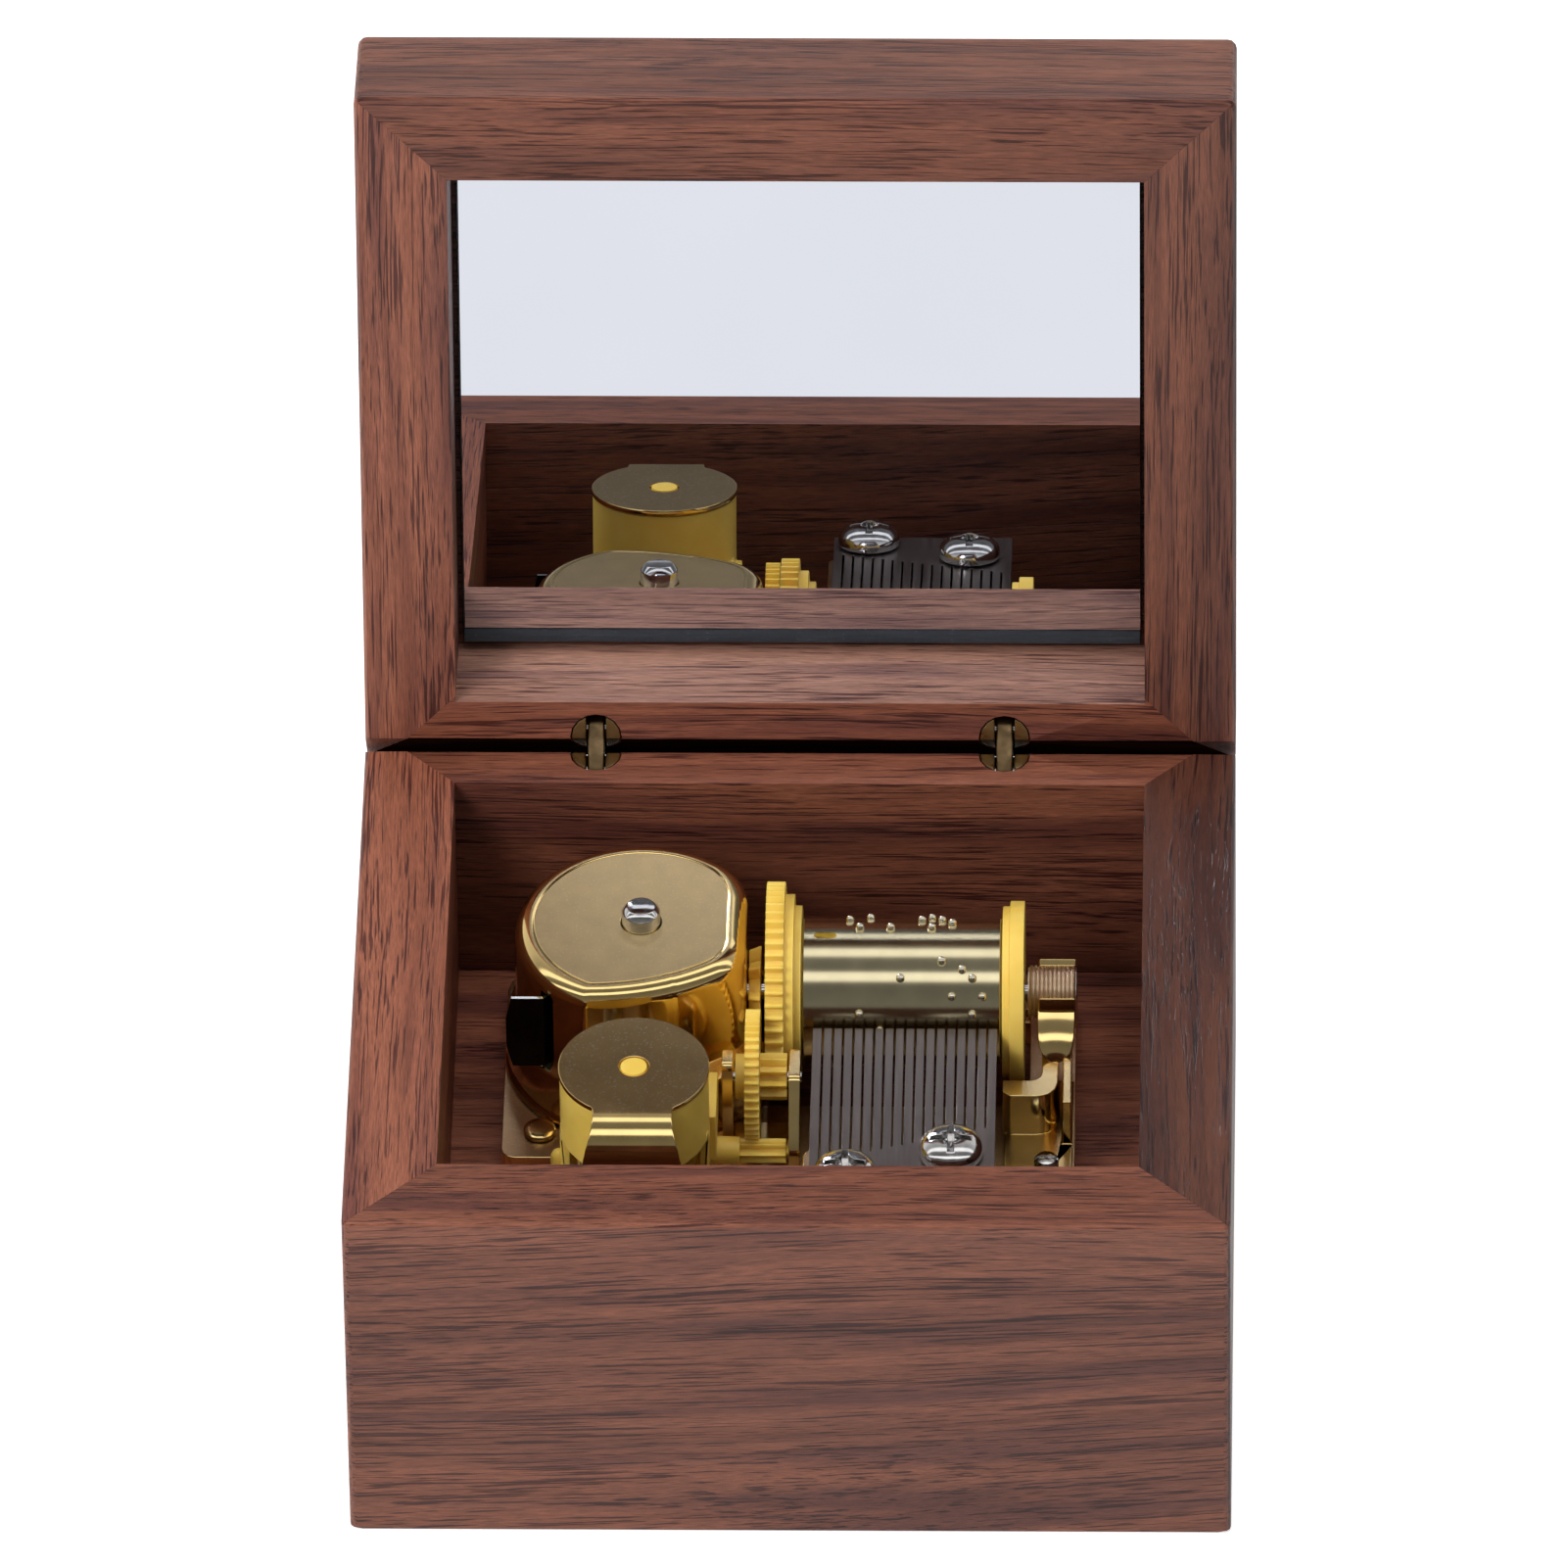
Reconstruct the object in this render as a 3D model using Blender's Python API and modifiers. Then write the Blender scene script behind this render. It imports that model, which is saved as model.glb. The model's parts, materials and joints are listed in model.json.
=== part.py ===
"""Walnut music box with a mirror in its lid and an 18 note spring movement.

Sizes are millimetres in the named values and helpers, and every finished
piece is scaled to metres. X runs across the box, Y to the back, Z up. The
movement is laid out from its winding arbor and the top of the floor. The
lid is modelled shut about its hinge pin and then turned open.
"""

import math

import bmesh
import bpy
from mathutils import Matrix, Vector

for old in list(bpy.data.objects):
    bpy.data.objects.remove(old, do_unlink=True)

MM = 0.001

# Clearances
glue_gap = 0.12
fit_gap = 0.15
bore_fit = 0.12
running_gap = 0.3

# Walnut case
case_width = 78.0
case_depth = 68.8
case_height = 35.8
wall = 8.1
interior_depth = 22.0
floor_thickness = 3.0
floor_tongue = 2.5
corner_round = 0.7
arris = 0.3

# Lid
lid_height = 12.9
lid_round = 1.5
lid_open_deg = 99.9
lid_back_wall = 7.6
panel_rabbet = 3.0
mirror_recess = 8.9
mirror_thickness = 1.8
mirror_side_gap = 0.45
mirror_back_gap = 0.95

# Barrel hinges
barrel_diameter = 4.4
barrel_depth = 9.0
barrel_spacing = 36.6
pin_depth = 1.9
pin_diameter = 1.0
link_width = 2.4
link_thickness = 1.5
slot_width = 1.8
lid_seat_gap = 0.2
lid_stop_gap = 0.3

# Movement on the floor, with the share of the free depth that lies behind it
arbor_x = -13.8
back_share = 0.396
plate_left = -26.2
plate_right = 24.9
plate_back = 11.6
plate_front = -30.4
plate_top = 3.6
plate_thickness = 1.8
plate_corner = 1.2
plate_back_corner = 2.5
plate_notch = (-20.9, -14.0)
plate_step = -23.4
foot_radius = 2.6
pedestal_left = 0.95
pedestal_back = (-21.6, -19.8)
pedestal_corner = 0.8
worm_window_reach = 2.4

# Spring housing
housing_radius = 11.0
housing_flat = 9.3
housing_bow = 9.3
bow_radius = 20.0
bow_deg = -66.0
housing_top = 19.3
housing_wall = 1.0
housing_shoulder = 1.1
skirt_radius = 12.1
skirt_wall = 0.8
skirt_plate = 0.5
skirt_top = 9.1

# Mainspring and winding arbor
arbor_radius = 1.72
arbor_rise = 1.8
arbor_core_radius = 2.6
arbor_screw_radius = 1.4
spring_turns = 5
spring_thickness = 0.3
spring_height = 7.8
spring_low = 9.35
spring_tab = 3.3
spring_exit_deg = 222.0

# Key under the floor
key_wing_width = 17.0
key_wing_height = 5.4
key_wing_thickness = 1.2
key_hub_radius = 3.0
key_hub_height = 3.6

# Pinned cylinder
cylinder_height = 11.3
tube_radius = 6.5
tube_wall = 0.5
tube_left = 0.62
tube_length = 17.6
pin_radius = 0.22
pin_rise = 0.55
shaft_radius = 0.75
gear_width = 1.65
flange_radius = 7.67
boss_radius = 8.68
end_flange_radius = 8.15
end_flange_step = 0.8
end_flange_length = 2.1
plug_length = 1.4
gear_plug_length = 3.2
notch_start = 0.95
notch_length = 2.0
notch_width = 0.8

# Gears
pressure_deg = 20.0
train_module = 0.36
cylinder_teeth = 53
pinion_teeth = 10
wheel_module = 0.255
wheel_teeth = 46
third_teeth = 7
train_backlash = 0.16
wheel_backlash = 0.14
bevel_module = 0.815
bevel_pinion_teeth = 9
bevel_wheel_teeth = 26
bevel_backlash = 0.42
bevel_face_share = 0.9
bevel_addendum = 0.36
bevel_dedendum = 0.75
drive_hub_radius = 4.2
train_pinion_span = (-3.5, -0.65)
train_wheel_span = (-4.35, -3.05)
train_hub_radius = 2.05
third_pinion_span = (-5.0, -0.7)
worm_module = 0.4
worm_wheel_teeth = 16
worm_pitch_radius = 1.8
worm_turns = 3
train_fall_deg = 2.0
third_fall_deg = 36.5
pivot_radius = 0.5
ear_left = -6.45
ear_right = -0.45
ear_thickness = 1.0
ear_top = 13.4

# Governor
governor_inset = 0.1
cup_radius = 6.6
cup_wall = 0.7
cup_bottom = 13.6
cap_top = 20.9
cap_thickness = 0.5
cap_neck = 7.2
cap_foot = 8.3
cap_reach = 1.95
cap_bend = 0.9
cup_boss_radius = 1.2
worm_core_radius = 0.9
worm_collar_radius = 1.1
spindle_radius = 0.8
weight_span = (1.2, 4.4)
lug_low = 9.2
lug_top = 13.4
lug_reach = 8.9

# Comb
tine_count = 18
tine_pitch = 0.915
tine_slot = 0.2
comb_left = 1.55
comb_top = 13.1
comb_thickness = 1.9
tine_thickness = 0.9
comb_tip = -7.25
comb_front = -30.2
screw_head_radius = 2.75
screw_head_height = 2.0
screw_radius = 1.0

# Bush at the cylinder's right end
bush_radius = 2.4
bush_length = 4.3
thread_pitch = 0.53
thread_depth = 0.15
cradle_wall = 0.75
cradle_length = 3.3
bracket_wall_top = 8.8
bracket_wall_front = -11.4
bracket_wall_back = -9.2
bracket_left = 18.4
bracket_right = 23.4
bracket_corner = 1.9
bracket_foot_top = plate_top + fit_gap + 0.6
flange_front = -12.7
flange_back = -4.3

# Notes seen on the cylinder, as tine and beat, where beat 0 faces the back
beats = 51
tune = [(3, 9), (4, 11), (5, 8), (7, 11), (10, 9), (11, 8), (11, 11), (12, 9), (13, 10),
        (12, 16), (14, 17), (8, 18), (15, 18), (13, 20), (16, 20), (4, 22), (15, 22)]
first_hidden_beat = 24
hidden_beats = 25

# Fasteners, as places from the winding arbor
mounting_points = [(-22.3, 8.6), (21.6, 8.2), (21.2, -20.0)]
comb_screws = {"left": (4.8, -27.9), "right": (14.1, -24.5)}
rivet_point = (-22.8, -10.6)
rivet_radius = 0.9
rivet_head_radius = 1.45
bracket_screw_point = (22.4, -15.4)
bracket_screw_radius = 0.6
bracket_screw_head = 1.1
wood_screw_head = 2.3
screw_clearance = 0.3

# Hinge geometry: two links that each turn half of the lid's angle
open_angle = math.radians(lid_open_deg)
half_angle = open_angle / 2
link_length = 2 * pin_depth + lid_seat_gap
pin_inset = wall / 2
swing_sin = math.sin(open_angle)
swing_cos = math.cos(open_angle)
stop_reach = 1 + swing_sin + swing_cos
rear_chamfer = (lid_stop_gap * math.sqrt(2) + pin_inset * (1 + swing_sin - swing_cos)
                - link_length * (math.sin(half_angle) + math.cos(half_angle))
                + pin_depth * stop_reach) / stop_reach
lid_pin_y = -pin_inset + link_length * math.sin(half_angle)
lid_pin_z = -pin_depth + link_length * math.cos(half_angle)
lid_front = pin_inset - case_depth
lid_rim = -pin_depth
lid_top = lid_rim + lid_height
overhang = (lid_pin_y + (lid_front + lid_round) * swing_cos
            + (lid_top - lid_round) * swing_sin + lid_round)

# Places in the box, with the origin under the middle of the open box
free_depth = case_depth - 2 * wall - skirt_radius + plate_front
movement_inset = wall + skirt_radius + back_share * free_depth
back_y = case_depth - (case_depth + overhang) / 2
front_y = back_y - case_depth
inner_x = case_width / 2 - wall
floor_top = case_height - interior_depth
arbor_y = back_y - movement_inset
on_floor = (0, arbor_y, floor_top)

# Places in the movement, from the winding arbor and the floor's top
plate_seat = plate_top + fit_gap
tube_right = tube_left + tube_length
gear_right = -1.03
gear_left = gear_right - gear_width
bush_left = tube_right + end_flange_length + running_gap
bush_right = bush_left + bush_length
comb_right = comb_left + tine_count * tine_pitch
train_distance = train_module * (cylinder_teeth + pinion_teeth) / 2
train_angle = math.radians(180 + train_fall_deg)
mid_y = train_distance * math.cos(train_angle)
mid_z = cylinder_height + train_distance * math.sin(train_angle)
third_distance = wheel_module * (wheel_teeth + third_teeth) / 2
third_angle = math.radians(180 + third_fall_deg)
third_y = mid_y + third_distance * math.cos(third_angle)
third_z = mid_z + third_distance * math.sin(third_angle)
governor_x = arbor_x - governor_inset
governor_y = third_y - worm_pitch_radius - worm_module * worm_wheel_teeth / 2
key_top = -floor_thickness - 1.4
key_low = key_top - key_hub_height

WOOD = ((0.16, 0.07, 0.045, 1.0), 0.5, 0.0)
MIRROR = ((0.85, 0.87, 0.9, 1.0), 0.03, 1.0)
PLATED = ((0.83, 0.58, 0.2, 1.0), 0.22, 1.0)
PLASTIC = ((0.85, 0.62, 0.12, 1.0), 0.4, 0.0)
BRIGHT_STEEL = ((0.6, 0.6, 0.62, 1.0), 0.25, 1.0)
BLUED_STEEL = ((0.02, 0.02, 0.022, 1.0), 0.35, 0.8)
COMB_STEEL = ((0.13, 0.12, 0.13, 1.0), 0.45, 1.0)
OLD_BRASS = ((0.36, 0.27, 0.13, 1.0), 0.45, 1.0)

# Turns that lay a shape built about Z along X or Y
ALONG_X = Matrix(((0, 0, 1, 0), (1, 0, 0, 0), (0, 1, 0, 0), (0, 0, 0, 1)))
ALONG_Y = Matrix.Rotation(math.pi / 2, 4, "X")


def new_collection(name):
    collection = bpy.data.collections.new(name)
    bpy.context.scene.collection.children.link(collection)
    return collection


parts = new_collection("wooden_music_box")
cutters = new_collection("cutters")


# Mesh helpers, in millimetres

def mesh_from(bm):
    mesh = bpy.data.meshes.new("shape")
    bm.to_mesh(mesh)
    bm.free()
    return mesh


def evaluated_mesh(obj):
    """The object's shape after its modifiers, and the object removed."""
    bpy.context.scene.collection.objects.link(obj)
    depsgraph = bpy.context.evaluated_depsgraph_get()
    mesh = bpy.data.meshes.new_from_object(obj.evaluated_get(depsgraph))
    bpy.data.objects.remove(obj, do_unlink=True)
    return mesh


def moved(mesh, offset=(0, 0, 0), turn=None):
    """The mesh turned, then shifted."""
    if turn is not None:
        mesh.transform(turn)
    mesh.transform(Matrix.Translation(Vector(offset)))
    return mesh


def turned_about_z(mesh, degrees):
    return moved(mesh, turn=Matrix.Rotation(math.radians(degrees), 4, "Z"))


def gathered(meshes):
    """Several separate bodies in one mesh, as one cutter."""
    bm = bmesh.new()
    for mesh in meshes:
        bm.from_mesh(mesh)
    return mesh_from(bm)


def box(low, high):
    """A block between two corners."""
    bm = bmesh.new()
    bmesh.ops.create_cube(bm, size=1.0)
    bmesh.ops.scale(bm, vec=[b - a for a, b in zip(low, high)], verts=bm.verts)
    bmesh.ops.translate(bm, vec=[(a + b) / 2 for a, b in zip(low, high)], verts=bm.verts)
    return mesh_from(bm)


def eased_block(low, high, corner, top, bottom):
    """A block whose level edges are rounded first and whose four corners follow."""
    bm = bmesh.new()
    bm.from_mesh(box(low, high))

    def soften(test, width, segments):
        edges = [edge for edge in bm.edges if test(*(vert.co for vert in edge.verts))]
        bmesh.ops.bevel(bm, geom=edges, offset=width, segments=segments, profile=0.5, affect="EDGES")

    def off_corner(point):
        across = min(point.x - low[0], high[0] - point.x)
        along = min(point.y - low[1], high[1] - point.y)
        return abs(across - along)

    soften(lambda a, b: min(a.z, b.z) > high[2] - 0.01, top, 4)
    soften(lambda a, b: max(a.z, b.z) < low[2] + 0.01, bottom, 1)
    soften(lambda a, b: off_corner(a) < 0.001 and off_corner(b) < 0.001 and abs(a.z - b.z) > 0.001, corner, 3)
    return mesh_from(bm)


def rod(radius, low, high, sides=16):
    """An upright cylinder between two heights."""
    bm = bmesh.new()
    bmesh.ops.create_cone(bm, cap_ends=True, segments=sides, radius1=radius, radius2=radius, depth=high - low)
    bmesh.ops.translate(bm, vec=(0, 0, (low + high) / 2), verts=bm.verts)
    return mesh_from(bm)


def turned(profile, steps=32):
    """A solid turned about Z from a profile listed down its outer side."""
    count = len(profile)
    edges = [(i, i + 1) for i in range(count - 1)]
    if profile[0][0] > 0:
        edges.append((count - 1, 0))
    mesh = bpy.data.meshes.new("profile")
    mesh.from_pydata([(radius, 0.0, height) for radius, height in profile], edges, [])
    obj = bpy.data.objects.new("turned", mesh)
    screw = obj.modifiers.new("turn", "SCREW")
    screw.steps = steps
    screw.render_steps = steps
    screw.use_merge_vertices = True
    screw.merge_threshold = 0.0001
    screw.use_smooth_shade = False
    return evaluated_mesh(obj)


def plate(outlines, low, high):
    """A flat plate between two heights, from an outline and its holes."""
    curve = bpy.data.curves.new("outline", "CURVE")
    curve.dimensions = "2D"
    curve.fill_mode = "BOTH"
    curve.extrude = (high - low) / 2
    for outline in outlines:
        spline = curve.splines.new("POLY")
        spline.points.add(len(outline) - 1)
        for point, (x, y) in zip(spline.points, outline):
            point.co = (x, y, 0.0, 1.0)
        spline.use_cyclic_u = True
    mesh = evaluated_mesh(bpy.data.objects.new("outline", curve))
    bm = bmesh.new()
    bm.from_mesh(mesh)
    bmesh.ops.remove_doubles(bm, verts=bm.verts, dist=0.0005)
    bmesh.ops.recalc_face_normals(bm, faces=bm.faces)
    bm.to_mesh(mesh)
    bm.free()
    return moved(mesh, (0, 0, (low + high) / 2))


def arc(centre, radius, start_deg, end_deg, count):
    """Points along an arc, both ends included."""
    points = []
    for i in range(count + 1):
        angle = math.radians(start_deg + (end_deg - start_deg) * i / count)
        points.append((centre[0] + radius * math.cos(angle), centre[1] + radius * math.sin(angle)))
    return points


def circle(centre, radius, count=12):
    return arc(centre, radius, 0, 360 * (count - 1) / count, count - 1)


def filleted(corners, count=3):
    """An outline through corners given as x, y and fillet radius."""
    points = []
    for i, (x, y, radius) in enumerate(corners):
        here = Vector((x, y))
        if radius <= 0:
            points.append((x, y))
            continue
        before = (Vector(corners[i - 1][:2]) - here).normalized()
        after = (Vector(corners[(i + 1) % len(corners)][:2]) - here).normalized()
        half = before.angle(after) / 2
        centre = here + (before + after).normalized() * (radius / math.sin(half))
        start = here + before * (radius / math.tan(half)) - centre
        end = here + after * (radius / math.tan(half)) - centre
        turn = start.angle_signed(end)
        points += [tuple(centre + Matrix.Rotation(-turn * k / count, 2) @ start) for k in range(count + 1)]
    return points


def strip(path, thickness):
    """The outline of a strip of even thickness along a path."""
    left = []
    right = []
    last = len(path) - 1
    for i, point in enumerate(path):
        here = Vector(point)
        ahead = (Vector(path[min(i + 1, last)]) - here).normalized()
        behind = (here - Vector(path[max(i - 1, 0)])).normalized()
        ahead = ahead if i < last else behind
        behind = behind if i > 0 else ahead
        along = (ahead + behind).normalized()
        side = Vector((-along.y, along.x)) * (thickness / 2 / along.dot(behind))
        left.append(tuple(here + side))
        right.append(tuple(here - side))
    return left + right[::-1]


def involute(angle):
    return math.tan(angle) - angle


def gear_outline(teeth, module, addendum, dedendum, backlash, tooth_deg):
    """A spur gear's outline, with a tooth centred on the given direction."""
    pitch = module * teeth / 2
    base = pitch * math.cos(math.radians(pressure_deg))
    tip = pitch + addendum
    root = pitch - dedendum
    half = math.pi / (2 * teeth) - backlash / (2 * pitch) + involute(math.radians(pressure_deg))
    low = max(base, root)
    flank = [(radius, half - involute(math.acos(base / radius))) for radius in (low, tip)]
    if root < low:
        flank.insert(0, (root, half))
    points = []
    for tooth in range(teeth):
        middle = math.radians(tooth_deg) + 2 * math.pi * tooth / teeth
        side = [(radius, middle - angle) for radius, angle in flank]
        side += [(radius, middle + angle) for radius, angle in reversed(flank)]
        points += [(radius * math.cos(angle), radius * math.sin(angle)) for radius, angle in side]
    return points


# Object helpers

def pivot(name, place, turn=0.0):
    """An empty that carries the pieces of a moving body."""
    empty = bpy.data.objects.new(name, None)
    empty.location = Vector(place) * MM
    empty.rotation_euler = (turn, 0.0, 0.0)
    empty.empty_display_size = 0.005
    parts.objects.link(empty)
    return empty


def material(name, finish):
    colour, roughness, metallic = finish
    result = bpy.data.materials.new(name)
    result.use_nodes = True
    shader = result.node_tree.nodes["Principled BSDF"]
    shader.inputs["Base Color"].default_value = colour
    shader.inputs["Roughness"].default_value = roughness
    shader.inputs["Metallic"].default_value = metallic
    return result


def placed(name, mesh, parent, at, collection):
    """An object in metres from a mesh in millimetres."""
    mesh = mesh.copy()
    mesh.name = name
    mesh.transform(Matrix.Scale(MM, 4))
    obj = bpy.data.objects.new(name, mesh)
    obj.location = Vector(at) * MM
    obj.parent = parent
    collection.objects.link(obj)
    return obj


def add(mesh):
    return "UNION", mesh


def cut(mesh):
    return "DIFFERENCE", mesh


def keep(mesh):
    return "INTERSECT", mesh


def piece(name, mesh, finish, parent=None, at=(0, 0, 0), steps=(), flat_sides=False):
    """One sub-part: a mesh and what is fused to it or cut from it, in order."""
    obj = placed(name, mesh, parent, at, parts)
    obj.data.materials.clear()
    obj.data.materials.append(material(name, finish))
    for number, (operation, tool_mesh) in enumerate(steps):
        tool = placed(f"{name}_tool_{number}", tool_mesh, parent, at, cutters)
        tool.hide_render = True
        tool.display_type = "WIRE"
        boolean = obj.modifiers.new(f"{operation.lower()}_{number}", "BOOLEAN")
        boolean.operation = operation
        boolean.object = tool
        boolean.solver = "EXACT"
    if not flat_sides:
        obj.data.shade_smooth()
        obj.data.set_sharp_from_angle(angle=math.radians(35))
    return obj


# Mitred frames of the case and the lid

def mitre_wedges(front, back, low, high):
    """Four blocks, one for each board, that meet at the mitres with a glue gap."""
    over = 4.0
    deep = wall + 1.5
    shift = glue_gap / math.sqrt(2)
    x_out = case_width / 2 + over
    x_in = case_width / 2 - deep
    y_far = back + over
    y_near = front - over
    y_back = back - deep
    y_front = front + deep
    outlines = {
        "front": [(shift - x_out, y_near), (x_out - shift, y_near),
                  (x_in - shift, y_front), (shift - x_in, y_front)],
        "back": [(x_out - shift, y_far), (shift - x_out, y_far),
                 (shift - x_in, y_back), (x_in - shift, y_back)],
        "left": [(-x_out, y_near + shift), (-x_in, y_front + shift),
                 (-x_in, y_back - shift), (-x_out, y_far - shift)],
        "right": [(x_out, y_near + shift), (x_out, y_far - shift),
                  (x_in, y_back - shift), (x_in, y_front + shift)],
    }
    return {side: plate([outline], low, high) for side, outline in outlines.items()}


def rear_bevel(back, rim, outward):
    """A wedge that takes the rear arris off at 45 degrees, under a lid or over a case."""
    reach = 6.0
    outline = [(back - rear_chamfer - reach, rim + outward * reach),
               (back + reach, rim - outward * (rear_chamfer + reach)),
               (back + 3 * reach, rim + outward * 3 * reach)]
    half = case_width / 2 + 10
    return moved(plate([outline], -half, half), turn=ALONG_X)


def barrel_bores(y, low, high):
    """The two drilled holes that take the hinge barrels."""
    bores = [moved(rod(barrel_diameter / 2 + bore_fit, low, high), (side * barrel_spacing / 2, y, 0))
             for side in (-1, 1)]
    return gathered(bores)


def build_case():
    rim = case_height
    over = 5.0
    block = eased_block((-case_width / 2, front_y, 0), (case_width / 2, back_y, rim),
                        corner_round, arris, arris)
    opening = box((-inner_x, front_y + wall, -over), (inner_x, back_y - wall, rim + over))
    tongue = floor_tongue + fit_gap
    floor_low = floor_top - floor_thickness
    groove = box((-inner_x - tongue, front_y + wall - tongue, floor_low - fit_gap),
                 (inner_x + tongue, back_y - wall + tongue, floor_top + fit_gap))
    bores = barrel_bores(back_y - pin_inset, rim - barrel_depth - fit_gap, rim + over)
    for side, wedge in mitre_wedges(front_y, back_y, -over, rim + over).items():
        steps = [keep(wedge), cut(opening), cut(groove)]
        if side != "front":
            steps.append(cut(rear_bevel(back_y, rim, 1)))
        if side == "back":
            steps.append(cut(bores))
        piece(f"case_{side}_board", block, WOOD, steps=steps)
    floor = box((-inner_x - floor_tongue, front_y + wall - floor_tongue, floor_low),
                (inner_x + floor_tongue, back_y - wall + floor_tongue, floor_top))
    key_hole = moved(rod(key_hub_radius + 1, floor_low - 1, floor_top + 1), (arbor_x, arbor_y, 0))
    bored = rod(screw_radius + screw_clearance, floor_low - 1, floor_top + 1, 8)
    screw_holes = [moved(bored.copy(), (x, arbor_y + y, 0)) for x, y in mounting_points]
    piece("floor_panel", floor, WOOD, steps=[cut(key_hole), cut(gathered(screw_holes))], flat_sides=True)


def build_lid(lid):
    over = 5.0
    back = pin_inset
    block = eased_block((-case_width / 2, lid_front, lid_rim), (case_width / 2, back, lid_top),
                        corner_round, lid_round, arris)
    inner_back = back - lid_back_wall
    opening = box((-inner_x, lid_front + wall, lid_rim - over), (inner_x, inner_back, lid_top + over))
    panel_low = lid_rim + mirror_recess + mirror_thickness + glue_gap
    rabbet = box((-inner_x - panel_rabbet, lid_front + wall - panel_rabbet, panel_low - glue_gap),
                 (inner_x + panel_rabbet, inner_back + panel_rabbet, lid_top + over))
    bores = barrel_bores(0, lid_rim - over, lid_rim + barrel_depth + fit_gap)
    for side, wedge in mitre_wedges(lid_front, back, lid_rim - over, lid_top + over).items():
        steps = [keep(wedge), cut(opening), cut(rabbet)]
        if side != "front":
            steps.append(cut(rear_bevel(back, lid_rim, -1)))
        if side == "back":
            steps.append(cut(bores))
        piece(f"lid_{side}_rail", block, WOOD, parent=lid, steps=steps)
    edge = panel_rabbet - glue_gap
    panel = box((-inner_x - edge, lid_front + wall - edge, panel_low),
                (inner_x + edge, inner_back + edge, lid_top))
    piece("lid_top_panel", panel, WOOD, parent=lid, flat_sides=True)
    pane_x = inner_x - mirror_side_gap
    pane = box((-pane_x, lid_front + wall + mirror_side_gap, lid_rim + mirror_recess),
               (pane_x, inner_back - mirror_back_gap, lid_rim + mirror_recess + mirror_thickness))
    piece("mirror_pane", pane, MIRROR, parent=lid, flat_sides=True)


# Barrel hinges

def hinge_barrel(name, parent, at, rim, outward):
    """A barrel let into the wood, slotted for the link and cut flush with the chamfer."""
    reach = 5.0
    deep = rim - outward * barrel_depth
    barrel = rod(barrel_diameter / 2, min(rim, deep), max(rim, deep))
    slot_end = rim - outward * (pin_depth + link_width / 2 + fit_gap)
    past = slot_end + outward * 2 * reach
    slot = box((-slot_width / 2, -reach, min(slot_end, past)), (slot_width / 2, reach, max(slot_end, past)))
    pin_z = rim - outward * pin_depth
    bore = moved(rod(pin_diameter / 2 + bore_fit, -reach, reach, 12), (0, 0, pin_z), ALONG_X)
    steps = [cut(slot), cut(bore), cut(rear_bevel(pin_inset, rim, outward))]
    piece(name, barrel, OLD_BRASS, parent=parent, at=at, steps=steps)


def build_hinges(lid, links):
    half_pin = barrel_diameter / 2 - 0.2
    pin = moved(rod(pin_diameter / 2, -half_pin, half_pin, 12), turn=ALONG_X)
    ends = arc((0, link_length), link_width / 2, 0, 180, 8) + arc((0, 0), link_width / 2, 180, 360, 8)
    holes = [circle((0, height), pin_diameter / 2 + bore_fit) for height in (0, link_length)]
    link = moved(plate([ends] + holes, -link_thickness / 2, link_thickness / 2), turn=ALONG_X)
    link = moved(link, turn=Matrix.Rotation(-half_angle, 4, "X"))
    for side, x in (("left", -barrel_spacing / 2), ("right", barrel_spacing / 2)):
        pin_y = back_y - pin_inset
        hinge_barrel(f"case_hinge_barrel_{side}", None, (x, pin_y, case_height), 0, 1)
        hinge_barrel(f"lid_hinge_barrel_{side}", lid, (x, 0, 0), lid_rim, -1)
        piece(f"case_hinge_pin_{side}", pin, BRIGHT_STEEL, at=(x, pin_y, case_height - pin_depth))
        piece(f"lid_hinge_pin_{side}", pin, BRIGHT_STEEL, parent=lid, at=(x, 0, 0))
        piece(f"hinge_link_{side}", link, OLD_BRASS, parent=links, at=(x, 0, 0))


# Bedplate

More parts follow.
